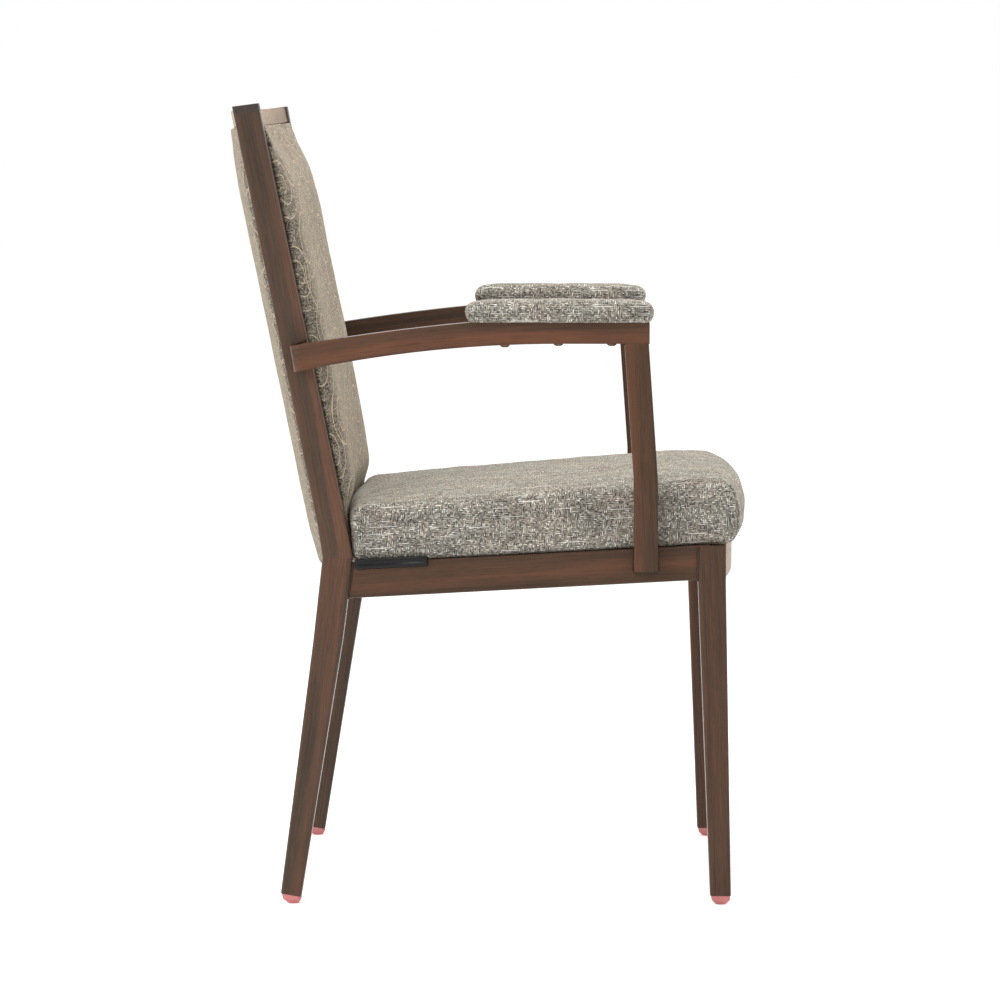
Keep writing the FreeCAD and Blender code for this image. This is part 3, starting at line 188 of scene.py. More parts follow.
def walnutAlong(direction, tint, gloss=0.24, haze=0.0, curved=False):
    key = (tuple(round(value, 3) for value in direction), tint, gloss, haze, curved)
    if key in walnutMade:
        return walnutMade[key]
    finish, s = newFinish("walnutCoat%02d" % len(walnutMade))
    shades = [walnut[shade] for shade in ("dark", "mid", "warm", "pore")]
    dark, mid, warm, pore = [rgb(*[a * b for a, b in zip(shade, tint)]) for shade in shades]
    turn = Vector(direction).normalized().rotation_difference(Vector((0, 0, 1))).to_euler()
    place = s.make("ShaderNodeTexCoord", None, None, "Object")
    if curved:                              # grain that follows the bend of the arm
        x, y, z = place.parts()
        past = s.sum("MAXIMUM", y - chair["armBend"], 0.0)
        place = s.vector(x, y, z + past * past / (2 * chair["armRadius"]))
    local = s.make("ShaderNodeMapping", None,
                   {"Vector": place, "Rotation": turn,
                    "Location": (walnut["shift"] * len(walnutMade), 0, 0)})
    x, y, z = local.parts()
    wander = (s.noise(local.stretch(*walnut["wander"]), 1.0) - 0.5) * walnut["sway"]
    grain = s.vector(x + wander, y + wander, z)
    broad = s.noise(grain.stretch(*walnut["broad"]), 1.0, 2.0)
    streak = s.noise(grain.stretch(*walnut["streak"]), 1.0, 3.0, 0.6)
    fine = s.noise(grain.stretch(*walnut["fine"]), 1.0, 2.0)
    pores = s.noise(grain.stretch(*walnut["pores"]), 1.0, 1.0, 0.4).step(0.60, 0.72)
    cloud = s.noise(local.stretch(*walnut["cloud"]), 1.0, 2.0)
    colour = broad.step(0.46, 0.72).tint(mid, warm)
    colour = ((streak * 0.5 + broad * 0.5).step(0.53, 0.33) * 0.80).tint(colour, dark)
    colour = (fine.step(0.46, 0.76) * 0.46).tint(colour, dark)
    colour = (fine.step(0.44, 0.26) * 0.40).tint(colour, warm)
    colour = (cloud.step(0.52, 0.36) * 0.22).tint(colour, dark)
    colour = (pores * 0.45).tint(colour, pore)
    surface(s, fine * 0.4 - pores * 0.5 + streak * 0.3, walnut["bump"], Base_Color=colour,
            Roughness=0.21 + streak * 0.14 + pores * 0.1,
            Specular_IOR_Level=gloss, Specular_Tint=walnut["glare"],
            Sheen_Weight=haze, Sheen_Roughness=0.3, Sheen_Tint=walnut["haze"])
    walnutMade[key] = finish
    return finish


# woven upholstery: short light and dark lengths of yarn, both ways
seatCloth = dict(deep=rgb(0.036, 0.032, 0.027), ground=rgb(0.256, 0.232, 0.198),
                 pale=rgb(0.550, 0.510, 0.442), slub=rgb(0.950, 0.920, 0.850),
                 pitch=0.00100, run=0.0026, swap=200, bump=0.0006,
                 sheen=0.30, fuzz=rgb(1.0, 0.88, 0.72))
backCloth = dict(deep=rgb(0.024, 0.020, 0.016), ground=rgb(0.096, 0.079, 0.062),
                 pale=rgb(0.192, 0.162, 0.127), slub=rgb(0.540, 0.468, 0.368),
                 pitch=0.00100, run=0.0026, swap=200, bump=0.0006,
                 sheen=0.50, fuzz=rgb(1.0, 0.86, 0.68))
scroll = dict(cell=0.085, lift=0.84, pitch=0.16, half=0.050, thread=rgb(0.700, 0.580, 0.400),
              stem=0.0011, stemGap=0.118, stemSway=0.021, loop=150, rounds=5.0)


def lengths(s, along, across, cloth, seed):  # a chance value for each short length of each yarn
    lane = s.sum("FLOOR", across / cloth["pitch"])
    shift = s.chance(s.vector(lane, seed, 0.0), "2D")
    piece = s.sum("FLOOR", along / cloth["run"] * (0.7 + shift * 0.6) + shift * 31.0)
    chance = s.chance(s.vector(piece, lane, seed))
    return chance * 0.72 + s.sum("PINGPONG", lane, 1.0) * 0.28   # light and dark yarns take turns


def clothFinish(name, cloth, curls):
    finish, s = newFinish(name)
    uv = s.make("ShaderNodeUVMap", {"uv_map": "cloth"})
    u, v, w = uv.parts()
    waver = s.noise(s.vector(u * 40, v * 40, 0.6), 1.0)
    bentU, bentV = u + (waver - 0.5) * 0.0012, v + (0.5 - waver) * 0.0012
    weft = lengths(s, u, bentV, cloth, 1.0)
    longWeft = lengths(s, u * 0.12, bentV, cloth, 9.0).step(0.970, 0.980)
    warp = lengths(s, v, bentU, cloth, 5.0)
    patch = s.noise(s.vector(u * 22, v * 22, 1.7), 1.0)
    band = s.noise(s.vector(u * 16, v * 75, 3.1), 1.0, 2.0, 0.6)
    onTop = s.noise(s.vector(u * cloth["swap"], v * cloth["swap"], 8.4), 1.0, 1.0).step(0.46, 0.52)
    value = warp + (weft - warp) * onTop
    colour = value.step(0.40, 0.10).tint(cloth["ground"], cloth["deep"])
    colour = value.step(0.50, 0.80).tint(colour, cloth["pale"])
    slubs = s.sum("MAXIMUM", value.step(0.86, 0.95), longWeft * 0.7)
    colour = slubs.tint(colour, cloth["slub"])
    cool, warm = rgb(0.97, 1.0, 0.99), rgb(1.0, 0.975, 0.95)
    colour = colour.dyed(patch.step(0.35, 0.65).tint(cool, warm))
    dull, bright = rgb(0.84, 0.84, 0.84), rgb(1.12, 1.12, 1.12)
    colour = colour.dyed(band.step(0.36, 0.64).tint(dull, bright))
    # painted shade: down each seam groove the cloth colour is darkened towards its deepest yarn,
    # standing for the shade in the crease
    seamShade = s.make("ShaderNodeAttribute", {"attribute_name": "seamShade"}, None, "Fac")
    colour = (seamShade * 0.75).tint(colour, cloth["deep"])
    turns = math.pi / cloth["pitch"]
    knots = s.sum("SINE", bentU * turns) * s.sum("SINE", bentV * turns)
    height = value * 0.8 + knots * 0.25 - seamShade * 1.2
    if curls:
        loops = s.noise(s.vector(u * scroll["loop"], v * scroll["loop"], 6.2), 1.0, 0.0)
        loops = s.sum("FRACT", loops * scroll["rounds"]) - 0.5
        loops = s.sum("ABSOLUTE", loops).step(0.24, 0.12)
        colour = (loops * 0.62).tint(colour, cloth["slub"])
        marks = curlMarks(s, uv, u, v)
        colour = marks.tint(colour, scroll["thread"])
        height = height + marks * 0.8
    surface(s, height, cloth["bump"], Base_Color=colour, Roughness=0.9, Specular_IOR_Level=0.2,
            Sheen_Weight=cloth["sheen"], Sheen_Roughness=0.45, Sheen_Tint=cloth["fuzz"])
    return finish


def curlMarks(s, uv, u, v):                 # thin spirals in staggered cells, on wavy stems
    marks = None
    for shift, spin in ((0.0, 1.0), (0.5, -1.0)):
        scaled = s.make("ShaderNodeMapping", None,
                        {"Vector": uv, "Location": (shift, shift * 0.7, 0.0),
                         "Scale": (1 / scroll["cell"], scroll["lift"] / scroll["cell"], 1.0)})
        chance = s.chance(s.make("ShaderNodeVectorMath", {"operation": "FLOOR"}, {0: scaled}))
        x, y, z = s.make("ShaderNodeVectorMath", {"operation": "FRACTION"}, {0: scaled}).parts()
        x, y = x - 0.5, y - 0.5
        radius = s.sum("SQRT", x * x + y * y)
        angle = s.sum("ARCTAN2", y, x) / math.pi * spin + chance
        arm = s.sum("FRACT", radius / scroll["pitch"] + angle)
        line = s.sum("ABSOLUTE", arm - 0.5).step(scroll["half"] * 1.3, scroll["half"] * 0.6)
        mark = line * radius.step(0.40, 0.36) * radius.step(0.02, 0.05)
        marks = mark if marks is None else s.sum("MAXIMUM", marks, mark)
    for wave, shift in ((0.21, 0.0), (0.16, 0.043)):
        sway = s.sum("SINE", v * (2 * math.pi / wave) + shift * 40) * scroll["stemSway"]
        across = s.sum("FRACT", (u + sway + shift) / scroll["stemGap"]) - 0.5
        across = s.sum("ABSOLUTE", across) * scroll["stemGap"]
        stem = across.step(scroll["stem"], scroll["stem"] * 0.5)
        stem = stem * s.noise(s.vector(u * 9, v * 14, 2.0), 1.0).step(0.44, 0.52)
        marks = s.sum("MAXIMUM", marks, stem)
    return marks * s.noise(s.vector(u * 420, v * 420, 4.0), 1.0, 1.0).step(0.30, 0.46)


def plainFinish(name, colour, rough, grain, speckle, **more):
    finish, s = newFinish(name)
    place = s.make("ShaderNodeTexCoord", None, None, "Object")
    fleck = s.noise(place, grain, 3.0, 0.6)
    broad = s.noise(place, grain * 0.08, 2.0)
    dark = tuple(value * (1 - speckle) for value in colour[:3]) + (1.0,)
    shade = (fleck * 0.6 + broad * 0.4).step(0.38, 0.62).tint(dark, colour)
    surface(s, fleck, 0.0002, Base_Color=shade, Roughness=rough + (fleck - 0.5) * 0.15, **more)
    return finish


# plywood of the boards, with its layers at the edges
ply = dict(pale=rgb(0.58, 0.42, 0.26), ring=rgb(0.40, 0.26, 0.14), glue=rgb(0.30, 0.19, 0.10),
           layer=0.003)


def plyFinish():
    finish, s = newFinish("plyBoard")
    x, y, z = s.make("ShaderNodeTexCoord", None, None, "Object").parts()
    rings = s.noise(s.vector(x * 240, y * 9, z * 240), 1.0, 3.0, 0.6)
    layer = s.sum("SINE", z * (2 * math.pi / ply["layer"])) * 0.5 + 0.5
    colour = rings.step(0.35, 0.70).tint(ply["pale"], ply["ring"])
    colour = (layer.step(0.55, 0.8) * 0.25).tint(colour, ply["glue"])
    surface(s, rings, 0.0003, Base_Color=colour, Roughness=0.72)
    return finish


glideRed = plainFinish("glideRed", rgb(0.80, 0.27, 0.26), 0.42, 700, 0.22)
bumperBlack = plainFinish("bumperBlack", rgb(0.008, 0.009, 0.008), 0.26, 900, 0.4,
                          Specular_IOR_Level=0.24)
capGrey = plainFinish("capGrey", rgb(0.058, 0.044, 0.038), 0.4, 900, 0.3, Specular_IOR_Level=0.3)
weldBrown = plainFinish("weldBrown", rgb(0.076, 0.046, 0.032), 0.5, 500, 0.35,
                        Specular_IOR_Level=0.12)
plugBrown = plainFinish("plugBrown", rgb(0.060, 0.038, 0.028), 0.5, 900, 0.3,
                        Specular_IOR_Level=0.12)
screwBronze = plainFinish("screwBronze", rgb(0.17, 0.10, 0.065), 0.36, 1500, 0.35, Metallic=0.7)
stapleSteel = plainFinish("stapleSteel", rgb(0.62, 0.62, 0.60), 0.32, 1500, 0.25, Metallic=1.0)
dustBlack = plainFinish("dustBlack", rgb(0.022, 0.022, 0.024), 0.95, 1800, 0.5)
plyBoard = plyFinish()
heatherCloth = clothFinish("heatherCloth", seatCloth, False)
scrollCloth = clothFinish("scrollCloth", backCloth, True)
print("finishes ready")


# small parts by a word in their name; tubes by grain on the left side, tint and finish
smallParts = [("glide", glideRed), ("bumper", bumperBlack), ("screws", screwBronze),
              ("board", plyBoard), ("dust", dustBlack), ("stile_cap", capGrey),
              ("post_plug", plugBrown)]
railGrain = (0, math.cos(chair["pitch"]), -math.sin(chair["pitch"]))
plain = (1.0, 1.0, 1.0)
crossTube = dict(gloss=0.2, haze=0.8)
tubes = [("rear_leg", (-0.0145, -0.0547, 0.391), (0.98, 1.10, 1.18), {}),
         ("front_leg", (-0.0145, 0.0108, 0.360), (1.12, 1.06, 1.06), {}),
         ("back_stile", (0.0205, 0.1016, 0.509), (1.0, 1.14, 1.26), {}),
         ("arm_post", (0.0128, 0.0110, 0.256), (1.0, 0.94, 0.86), {}),
         ("arm_rail", (0, 1, 0), (1.12, 1.08, 1.06), dict(curved=True)),
         ("side_rail", railGrain, (1.08, 1.02, 0.96), {}),
         ("seat_tab", (0, 1, 0), plain, {})]
tubes += [(name, (1, 0, 0), plain, crossTube)
          for name in ("front_rail", "rear_rail", "top_rail", "back_crossbar")]


def finishFor(name):
    for word, finish in smallParts:
        if word in name:
            return finish
    side = -1 if name.endswith("_right") else 1
    for start, (x, y, z), tint, more in tubes:
        if name.startswith(start):
            return walnutAlong((side * x, y, z), tint, **more)
    return heatherCloth


for name, item in nodes.items():
    item.data.materials.clear()
    item.data.materials.append(finishFor(name))
print("frame dressed,", len(nodes), "nodes")


def coordsOf(mesh):
    co = np.empty(len(mesh.vertices) * 3)
    mesh.vertices.foreach_get("co", co)
    return co.reshape(-1, 3)


def normalsOf(mesh):
    normals = np.empty(len(mesh.vertices) * 3)
    mesh.vertex_normals.foreach_get("vector", normals)
    return normals.reshape(-1, 3)


def setCoords(mesh, co):
    mesh.vertices.foreach_set("co", np.ascontiguousarray(co, dtype=np.float32).ravel())
    mesh.update()


def cornersOf(mesh):                        # the point of each face corner
    corner = np.empty(len(mesh.loops), dtype=np.int32)
    mesh.loops.foreach_get("vertex_index", corner)
    return corner


def setWeave(mesh, u, v):
    layer = mesh.uv_layers.new(name="cloth")
    layer.data.foreach_set("uv", np.stack([u, v], 1).astype(np.float32).ravel())


def bake(piece):                            # put the modifiers' result into the mesh
    graph = bpy.context.evaluated_depsgraph_get()
    mesh = bpy.data.meshes.new_from_object(piece.evaluated_get(graph))
    piece.modifiers.clear()
    piece.data = mesh
    return mesh


def addPiece(name, bm, finish):
    mesh = bpy.data.meshes.new(name)
    bm.to_mesh(mesh)
    bm.free()
    piece = bpy.data.objects.new(name, mesh)
    scene.collection.objects.link(piece)
    mesh.materials.append(finish)
    mesh.shade_smooth()
    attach(piece, "root")
    return piece


def shellOf(node, inPocket):                # a CAD cushion's outside, with its pocket closed
    bm = bmesh.new()
    bm.from_mesh(nodes[node].data)
    bmesh.ops.remove_doubles(bm, verts=bm.verts, dist=0.00002)
    inside = inPocket(np.array([face.calc_center_median() for face in bm.faces]))
    pocket = [face for face, hit in zip(bm.faces[:], inside) if hit]
    bmesh.ops.delete(bm, geom=pocket, context="FACES")
    bmesh.ops.holes_fill(bm, edges=[edge for edge in bm.edges if edge.is_boundary], sides=0)
    bmesh.ops.recalc_face_normals(bm, faces=bm.faces)
    return bm


def swell(piece, spec, start, pinned):      # stuff a cover with air from a slightly smaller start
    mesh = piece.data
    setCoords(mesh, start)
    group = piece.vertex_groups.new(name="held")
    group.add(np.nonzero(pinned)[0].tolist(), 1.0, "REPLACE")
    cloth = piece.modifiers.new("cloth", "CLOTH")
    cloth.settings.quality = 4
    cloth.settings.use_pressure = True
    cloth.settings.uniform_pressure_force = spec["pressure"]
    cloth.settings.tension_stiffness = spec["tension"]
    cloth.settings.compression_stiffness = spec["tension"]
    cloth.settings.vertex_group_mass = "held"
    cloth.settings.effector_weights.gravity = 0.0
    for step in range(1, 21):
        scene.frame_set(step)
    mesh = bake(piece)
    scene.frame_set(1)
    piece.vertex_groups.clear()
    moved = coordsOf(mesh) - start
    far = np.linalg.norm(moved, axis=1, keepdims=True)
    setCoords(mesh, start + moved * np.minimum(1.0, spec["cap"] / np.maximum(far, 1e-9)))
    print(piece.name, len(mesh.vertices), "points swelled by up to %.1f mm" % (1000 * far.max()))


def finer(piece):
    smooth = piece.modifiers.new("finer", "SUBSURF")
    smooth.levels = smooth.render_levels = 1
    mesh = bake(piece)
    mesh.shade_smooth()
    return mesh


def stuffPad(piece, spec, toLocal, held):   # even faces first, then the stuffing
    piece.modifiers.new("even", "REMESH").voxel_size = spec["voxel"]
    mesh = bake(piece)
    full = coordsOf(mesh)
    pinned = held(toLocal(full))
    out = normalsOf(mesh)
    slack = spec["sideSlack"] + (spec["slack"] - spec["sideSlack"]) * np.abs(out[:, 2])
    slack = np.where(pinned, 0.0, slack)
    swell(piece, spec, full - out * slack[:, None], pinned)
    return finer(piece)


def fillOut(mesh, form, share):             # points that fell inside the CAD form go back out
    co = coordsOf(mesh)
    for place, point in enumerate(co):
        near, normal, face, far = form.find_nearest(point)
        if normal.dot(near - Vector(point)) > 0:
            co[place] += share * (np.array(near) - point)
    setCoords(mesh, co)
    bm = bmesh.new()
    bm.from_mesh(mesh)
    for turn in range(2):
        bmesh.ops.smooth_vert(bm, verts=bm.verts, factor=0.5,
                              use_axis_x=True, use_axis_y=True, use_axis_z=True)
    bm.to_mesh(mesh)
    bm.free()
    mesh.shade_smooth()


def unevenness(local, size, height, seed):  # soft dips and swells of stuffing
    rng = np.random.default_rng(seed)
    total = np.zeros(len(local))
    for _ in range(7):
        wave = rng.normal(size=3) / size
        total += np.sin(local @ wave * 2 * math.pi + rng.uniform(0, 6.28))
    return total * height / 7


def wrapCloth(mesh, toLocal):               # lay the weave on by the side that each face looks to
    local = toLocal(coordsOf(mesh))
    sizes = np.empty(len(mesh.polygons), dtype=np.int32)
    mesh.polygons.foreach_get("loop_total", sizes)
    normal = np.empty(len(mesh.polygons) * 3)
    mesh.polygons.foreach_get("normal", normal)
    normal = toLocal(normal.reshape(-1, 3)) - toLocal(np.zeros((1, 3)))
    main = np.argmax(np.abs(normal), axis=1)
    sign = np.repeat(np.sign(normal[np.arange(len(main)), main]), sizes)
    main = np.repeat(main, sizes)
    x, y, z = local[cornersOf(mesh)].T
    u = np.where(main == 0, y * sign, np.where(main == 1, x, y))
    setWeave(mesh, u, np.where(main == 2, x, z))


# stores the painted shade of the seam grooves on the points, for the cloth's colour
def setSeamShade(mesh, value):
    seamShade = mesh.attributes.new("seamShade", "FLOAT", "POINT")
    seamShade.data.foreach_set("value", np.asarray(value, dtype=np.float32))


def refine(mesh, near):                     # finer faces where a seam will be pressed in
    bm = bmesh.new()
    bm.from_mesh(mesh)
    hit = near(coordsOf(mesh))
    edges = [edge for edge in bm.edges if hit[edge.verts[0].index] and hit[edge.verts[1].index]]
    bmesh.ops.subdivide_edges(bm, edges=edges, cuts=2, use_grid_fill=True)
    bm.to_mesh(mesh)
    bm.free()
    mesh.shade_smooth()


# seat cushion; each fade is where a change begins and over what length, along x, y or z
seatPad = dict(voxel=0.005, slack=0.0048, sideSlack=0.0008, pressure=3.0, tension=14.0, cap=0.0055,
               fill=0.8, regain=0.9, held=0.004,
               pocketX=0.2186, pocketY=(-0.4075, -0.012), pocketZ=(0.0004, 0.0126),
               rearFoot=0.0032, footY=(-0.045, 0.030), footZ=(0.039, -0.030),
               rearCorner=0.0022, cornerFadeX=(0.218, 0.018), cornerFadeY=(-0.026, 0.018),
               cornerFadeZ=(0.066, -0.012),
               rearLift=0.0034, liftX=(0.12, 0.06), liftY=(-0.030, 0.030), liftZ=(0.040, 0.020),
               cornerX=0.221, cornerY=-0.421, seamAngle=math.radians(66), seamNear=0.008,
               seamDepth=0.0024, seamWidth=0.0016, seamShadeLine=0.0008, seamOut=(-0.004, 0.012),
               puff=0.0007, puffAt=0.0055, puffWidth=0.0026, edge=0.012, wave=0.12, uneven=0.0010)


def inSeatPocket(middles):
    x, y, z = toSeat(middles).T
    (front, rear), (low, high) = seatPad["pocketY"], seatPad["pocketZ"]
    return (np.abs(x) < seatPad["pocketX"]) & (z < high) & (z > low) & (y > front) & (y < rear)


def seamSpan(co):                           # distance from the front corner seams, and along them
    x, y, z = toSeat(co).T
    qx = np.abs(x) - seatPad["cornerX"]
    qy = seatPad["cornerY"] - y
    c, s = math.cos(seatPad["seamAngle"]), math.sin(seatPad["seamAngle"])
    return qy * c - qx * s, qx * c + qy * s


def nearSeam(co):
    across, out = seamSpan(co)
    return (np.abs(across) < seatPad["seamNear"]) & (out > 0.0)


def squareRear(mesh):                       # the rear edge stands against the legs, its corners full
    p = toSeat(coordsOf(mesh))
    x, y, z = p.T                           # these follow each change of p
    y += seatPad["rearFoot"] * ramp(z, *seatPad["footZ"]) * ramp(y, *seatPad["footY"])
    corner = ramp(np.abs(x), *seatPad["cornerFadeX"]) * ramp(y, *seatPad["cornerFadeY"])
    corner *= ramp(z, *seatPad["cornerFadeZ"])
    x += np.sign(x) * corner * seatPad["rearCorner"]
    y += corner * seatPad["rearCorner"]
    lift = ramp(z, *seatPad["liftZ"]) * ramp(y, *seatPad["liftY"])
    z += lift * ramp(np.abs(x), *seatPad["liftX"]) * seatPad["rearLift"]
    setCoords(mesh, fromSeat(p))


def pressSeams(mesh):                       # front corner seams, with the cloth puffed beside them and painted shade laid down their grooves
    refine(mesh, nearSeam)
    co = coordsOf(mesh)
    across, out = seamSpan(co)
    p = toSeat(co)
    hold = ramp(p[:, 2], 0, seatPad["edge"])
    reach = ramp(out, *seatPad["seamOut"]) * hold
    groove = np.exp(-(across / seatPad["seamWidth"]) ** 2) * reach
    puff = np.exp(-((np.abs(across) - seatPad["puffAt"]) / seatPad["puffWidth"]) ** 2) * reach
    lift = unevenness(p, seatPad["wave"], seatPad["uneven"], 3) * hold
    lift += puff * seatPad["puff"] - groove * seatPad["seamDepth"]
    setCoords(mesh, co + normalsOf(mesh) * lift[:, None])
    # painted shade: a narrow dark line down the middle of each seam groove
    setSeamShade(mesh, np.exp(-(across / seatPad["seamShadeLine"]) ** 2) * reach)


shell = shellOf("seat_cushion", inSeatPocket)
form = BVHTree.FromBMesh(shell)
seatCushion = addPiece("seatCushion", shell, heatherCloth)
mesh = stuffPad(seatCushion, seatPad, toSeat, lambda p: p[:, 2] < seatPad["held"])
fillOut(mesh, form, seatPad["regain"])
squareRear(mesh)
pressSeams(mesh)
wrapCloth(mesh, toSeat)
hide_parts("seat_cushion", "seat_board")
print("seat cushion", len(mesh.polygons))

# arm pads, with the cloth gathered round their ends
armPad = dict(voxel=0.004, slack=0.0020, sideSlack=0.0006, pressure=3.0, tension=14.0, cap=0.004,
              fill=0.75, regain=0.9, held=0.0015,
              pocketX=0.0175, pocketEnd=0.008, pocketLow=0.0002, pocketHigh=0.6668,
              gather=0.0008, folds=17, gatherEnd=0.016, gatherFade=0.008, gatherHigh=0.55,
              turnEnd=0.014, wave=0.07, uneven=0.0009)
for side in ("right", "left"):
    low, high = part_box("arm_pad_" + side)
    middleX, middleY, half = (low.x + high.x) / 2, (low.y + high.y) / 2, (high.y - low.y) / 2
    shell = shellOf("arm_pad_" + side, lambda c: (np.abs(c[:, 0] - middleX) < armPad["pocketX"])
                    & (c[:, 2] < armPad["pocketHigh"]) & (c[:, 2] > low.z + armPad["pocketLow"])
                    & (c[:, 1] > low.y + armPad["pocketEnd"])
                    & (c[:, 1] < high.y - armPad["pocketEnd"]))
    form = BVHTree.FromBMesh(shell)
    pad = addPiece("armPad" + side.title(), shell, heatherCloth)
    mesh = stuffPad(pad, armPad, asIs, lambda p: p[:, 2] < low.z + armPad["held"])
    fillOut(mesh, form, armPad["regain"])
    co = coordsOf(mesh)
    x, y, z = co.T
    height = ramp(z, low.z, high.z - low.z)
    endY = np.where(y < middleY, low.y + armPad["turnEnd"], high.y - armPad["turnEnd"])
    turn = np.arctan2(x - middleX, np.abs(y - endY) + 0.004)
    gather = np.maximum(0, np.sin(turn * armPad["folds"] + 1.0)) ** 2
    gather *= ramp(np.abs(y - middleY), half - armPad["gatherEnd"], armPad["gatherFade"])
    gather *= ramp(height, armPad["gatherHigh"], -armPad["gatherHigh"]) * ramp(height, 0, 1 / 12)
    lift = unevenness(co, armPad["wave"], armPad["uneven"], 11) * ramp(height, 0, 1 / 3)
    lift -= gather * armPad["gather"]
    setCoords(mesh, co + normalsOf(mesh) * lift[:, None])
    wrapCloth(mesh, asIs)
    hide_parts("arm_pad_" + side, "arm_pad_board_" + side)
print("arm pads done")

# back pads: a sheet over the stuffing, pulled down along its border and closed behind
frontPad = dict(across=84, up=88, low=0.002, high=0.4989, face=0.0, toward=-1,
                thick=0.0353, plump=0.0008, lip=0.105, steep=0.030,
                wall=0.014, side=0.36, bulge=0.0036,
                swell=((0.002, 0.14), (0.036, 0.22), (0.054, 0.40), (0.066, 0.76), (0.076, 0.90),
                       (0.140, 1.0), (0.399, 1.0), (0.441, 0.88), (0.473, 0.56), (0.491, 0.24),
                       (0.4989, 0.10)),
                slack=0.0022, pressure=3.0, tension=14.0, cap=0.0052, fill=0.7,
                uneven=0.0011, seed=5)
rearPad = dict(across=70, up=74, low=-0.006, high=0.4989, face=0.0257, toward=1,
               thick=0.0074, plump=0.0015, lip=0.008, steep=0.008,
               wall=0.008, side=0.0, bulge=0.0,
               swell=((-0.006, 0.26), (0.002, 0.68), (0.030, 1.0), (0.249, 1.0), (0.439, 0.96),
                      (0.475, 0.70), (0.492, 0.34), (0.4989, 0.10)),
               slack=0.0010, pressure=2.0, tension=16.0, cap=0.0022, fill=0.85,
               uneven=0.0006, seed=8)
border = dict(beside=0.0137, lipSteps=9, square=2.6, blur=(-0.010, -0.005, 0, 0.005, 0.010),
              gap=0.0003, bulgeFrom=(0, 0.0026), bulgeTo=(0.026, -0.016), pinned=2.5,
              wave=0.11, waveFade=(0.2, 0.5), unroll=0.75)


def backEdge(level):                        # where the back pads end beside the stiles
    return stileMiddle(level) - border["beside"]


def backSpread(place, level, spec):         # grid place, -1 to 1, to metres; close on the lips
    count, lipSteps = spec["across"] / 2, border["lipSteps"]
    step = (1 - np.abs(place)) * count
    lip = spec["steep"] * np.clip(step / lipSteps, 0, 1) ** 3
    rest = (backEdge(level) - spec["steep"]) * np.clip(step - lipSteps, 0, None)
    return np.sign(place) * (backEdge(level) - lip - rest / (count - lipSteps))


def backDepth(x, level, spec):              # a steep side first, then a long round face
    inward = backEdge(level) - np.abs(x)
    power = border["square"]
    side = (1 - (1 - ramp(inward, 0, spec["wall"])) ** power) ** (1 / power)
    face = np.sqrt(1 - (1 - ramp(inward, 0, spec["lip"])) ** 2)
    shape = spec["side"] * side + (1 - spec["side"]) * face
    levels, shares = zip(*spec["swell"])
    share = np.mean([np.interp(level + shift, levels, shares) for shift in border["blur"]], axis=0)
    middle = spec["plump"] * np.clip(1 - (x / backEdge(level)) ** 2, 0, 1)
    return (spec["thick"] * share + middle) * shape


def backForward(p, spec):                   # how far points stand off the stiles' face
    return np.abs(p[:, 1] - bowAt(p[:, 0], p[:, 2]) - spec["face"])


def closeBehind(mesh, spec):                # a flat copy of the sheet, joined to it at the rim
    bm = bmesh.new()
    bm.from_mesh(mesh)
    rim = [edge for edge in bm.edges if edge.is_boundary]
    behind = bmesh.ops.duplicate(bm, geom=bm.verts[:] + bm.edges[:] + bm.faces[:])["geom"]
    for item in behind:
        if isinstance(item, bmesh.types.BMVert):
            x, y, z = toBack(np.array([item.co]))[0]
            x = np.clip(x, -backEdge(z), backEdge(z))
            y = spec["face"] + spec["toward"] * border["gap"] + bowAt(x, z)
            item.co = fromBack(np.array([[x, y, z]]))[0]
        elif isinstance(item, bmesh.types.BMEdge) and item.is_boundary:
            rim.append(item)
    bmesh.ops.bridge_loops(bm, edges=rim)
    bmesh.ops.recalc_face_normals(bm, faces=bm.faces)
    bm.to_mesh(mesh)
    bm.free()
    mesh.shade_smooth()


def wrapBack(mesh, spec):                   # weave across the face and on round the side edges
    p = toBack(coordsOf(mesh))[cornersOf(mesh)]
    down = border["unroll"] * (spec["thick"] - backForward(p, spec))
    setWeave(mesh, np.sign(p[:, 0]) * (np.abs(p[:, 0]) + down), p[:, 2])


def backPad(name, node, spec):
    bm = bmesh.new()
    bmesh.ops.create_grid(bm, x_segments=spec["across"], y_segments=spec["up"], size=1.0)
    if spec["toward"] < 0:                  # the grid faces the sitter
        bmesh.ops.reverse_faces(bm, faces=bm.faces)
    piece = addPiece(name, bm, scrollCloth)
    mesh = piece.data
    place, up, flat = coordsOf(mesh).T
    level = spec["low"] + (spec["high"] - spec["low"]) * (up + 1) / 2
    x = backSpread(place, level, spec)
    depth = backDepth(x, level, spec)
    y = spec["face"] + spec["toward"] * (border["gap"] + depth) + bowAt(x, level)
    over = ramp(depth, *border["bulgeFrom"]) * ramp(depth, *border["bulgeTo"])
    over *= ramp(backEdge(level) - np.abs(x), spec["steep"], -spec["steep"])
    x = x + np.sign(x) * spec["bulge"] * over    # swells over the stile's edge
    setCoords(mesh, fromBack(np.stack([x, y, level], 1)))
    pinned = np.abs(place) > 1 - border["pinned"] / spec["across"]
    pinned |= np.abs(up) > 1 - border["pinned"] / spec["up"]
    slack = np.where(pinned, 0.0, spec["slack"])
    swell(piece, spec, coordsOf(mesh) - normalsOf(mesh) * slack[:, None], pinned)
    mesh = finer(piece)
    co = coordsOf(mesh)
    p = toBack(co)
    lift = unevenness(p, border["wave"], spec["uneven"], spec["seed"])
    lift *= ramp(backForward(p, spec) / spec["thick"], *border["waveFade"])
    setCoords(mesh, co + normalsOf(mesh) * lift[:, None])
    closeBehind(mesh, spec)
    wrapBack(mesh, spec)
    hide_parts(node)
    print(name, len(mesh.polygons), "faces")


backPad("backFront", "back_front_pad", frontPad)
backPad("backRear", "back_rear_pad", rearPad)

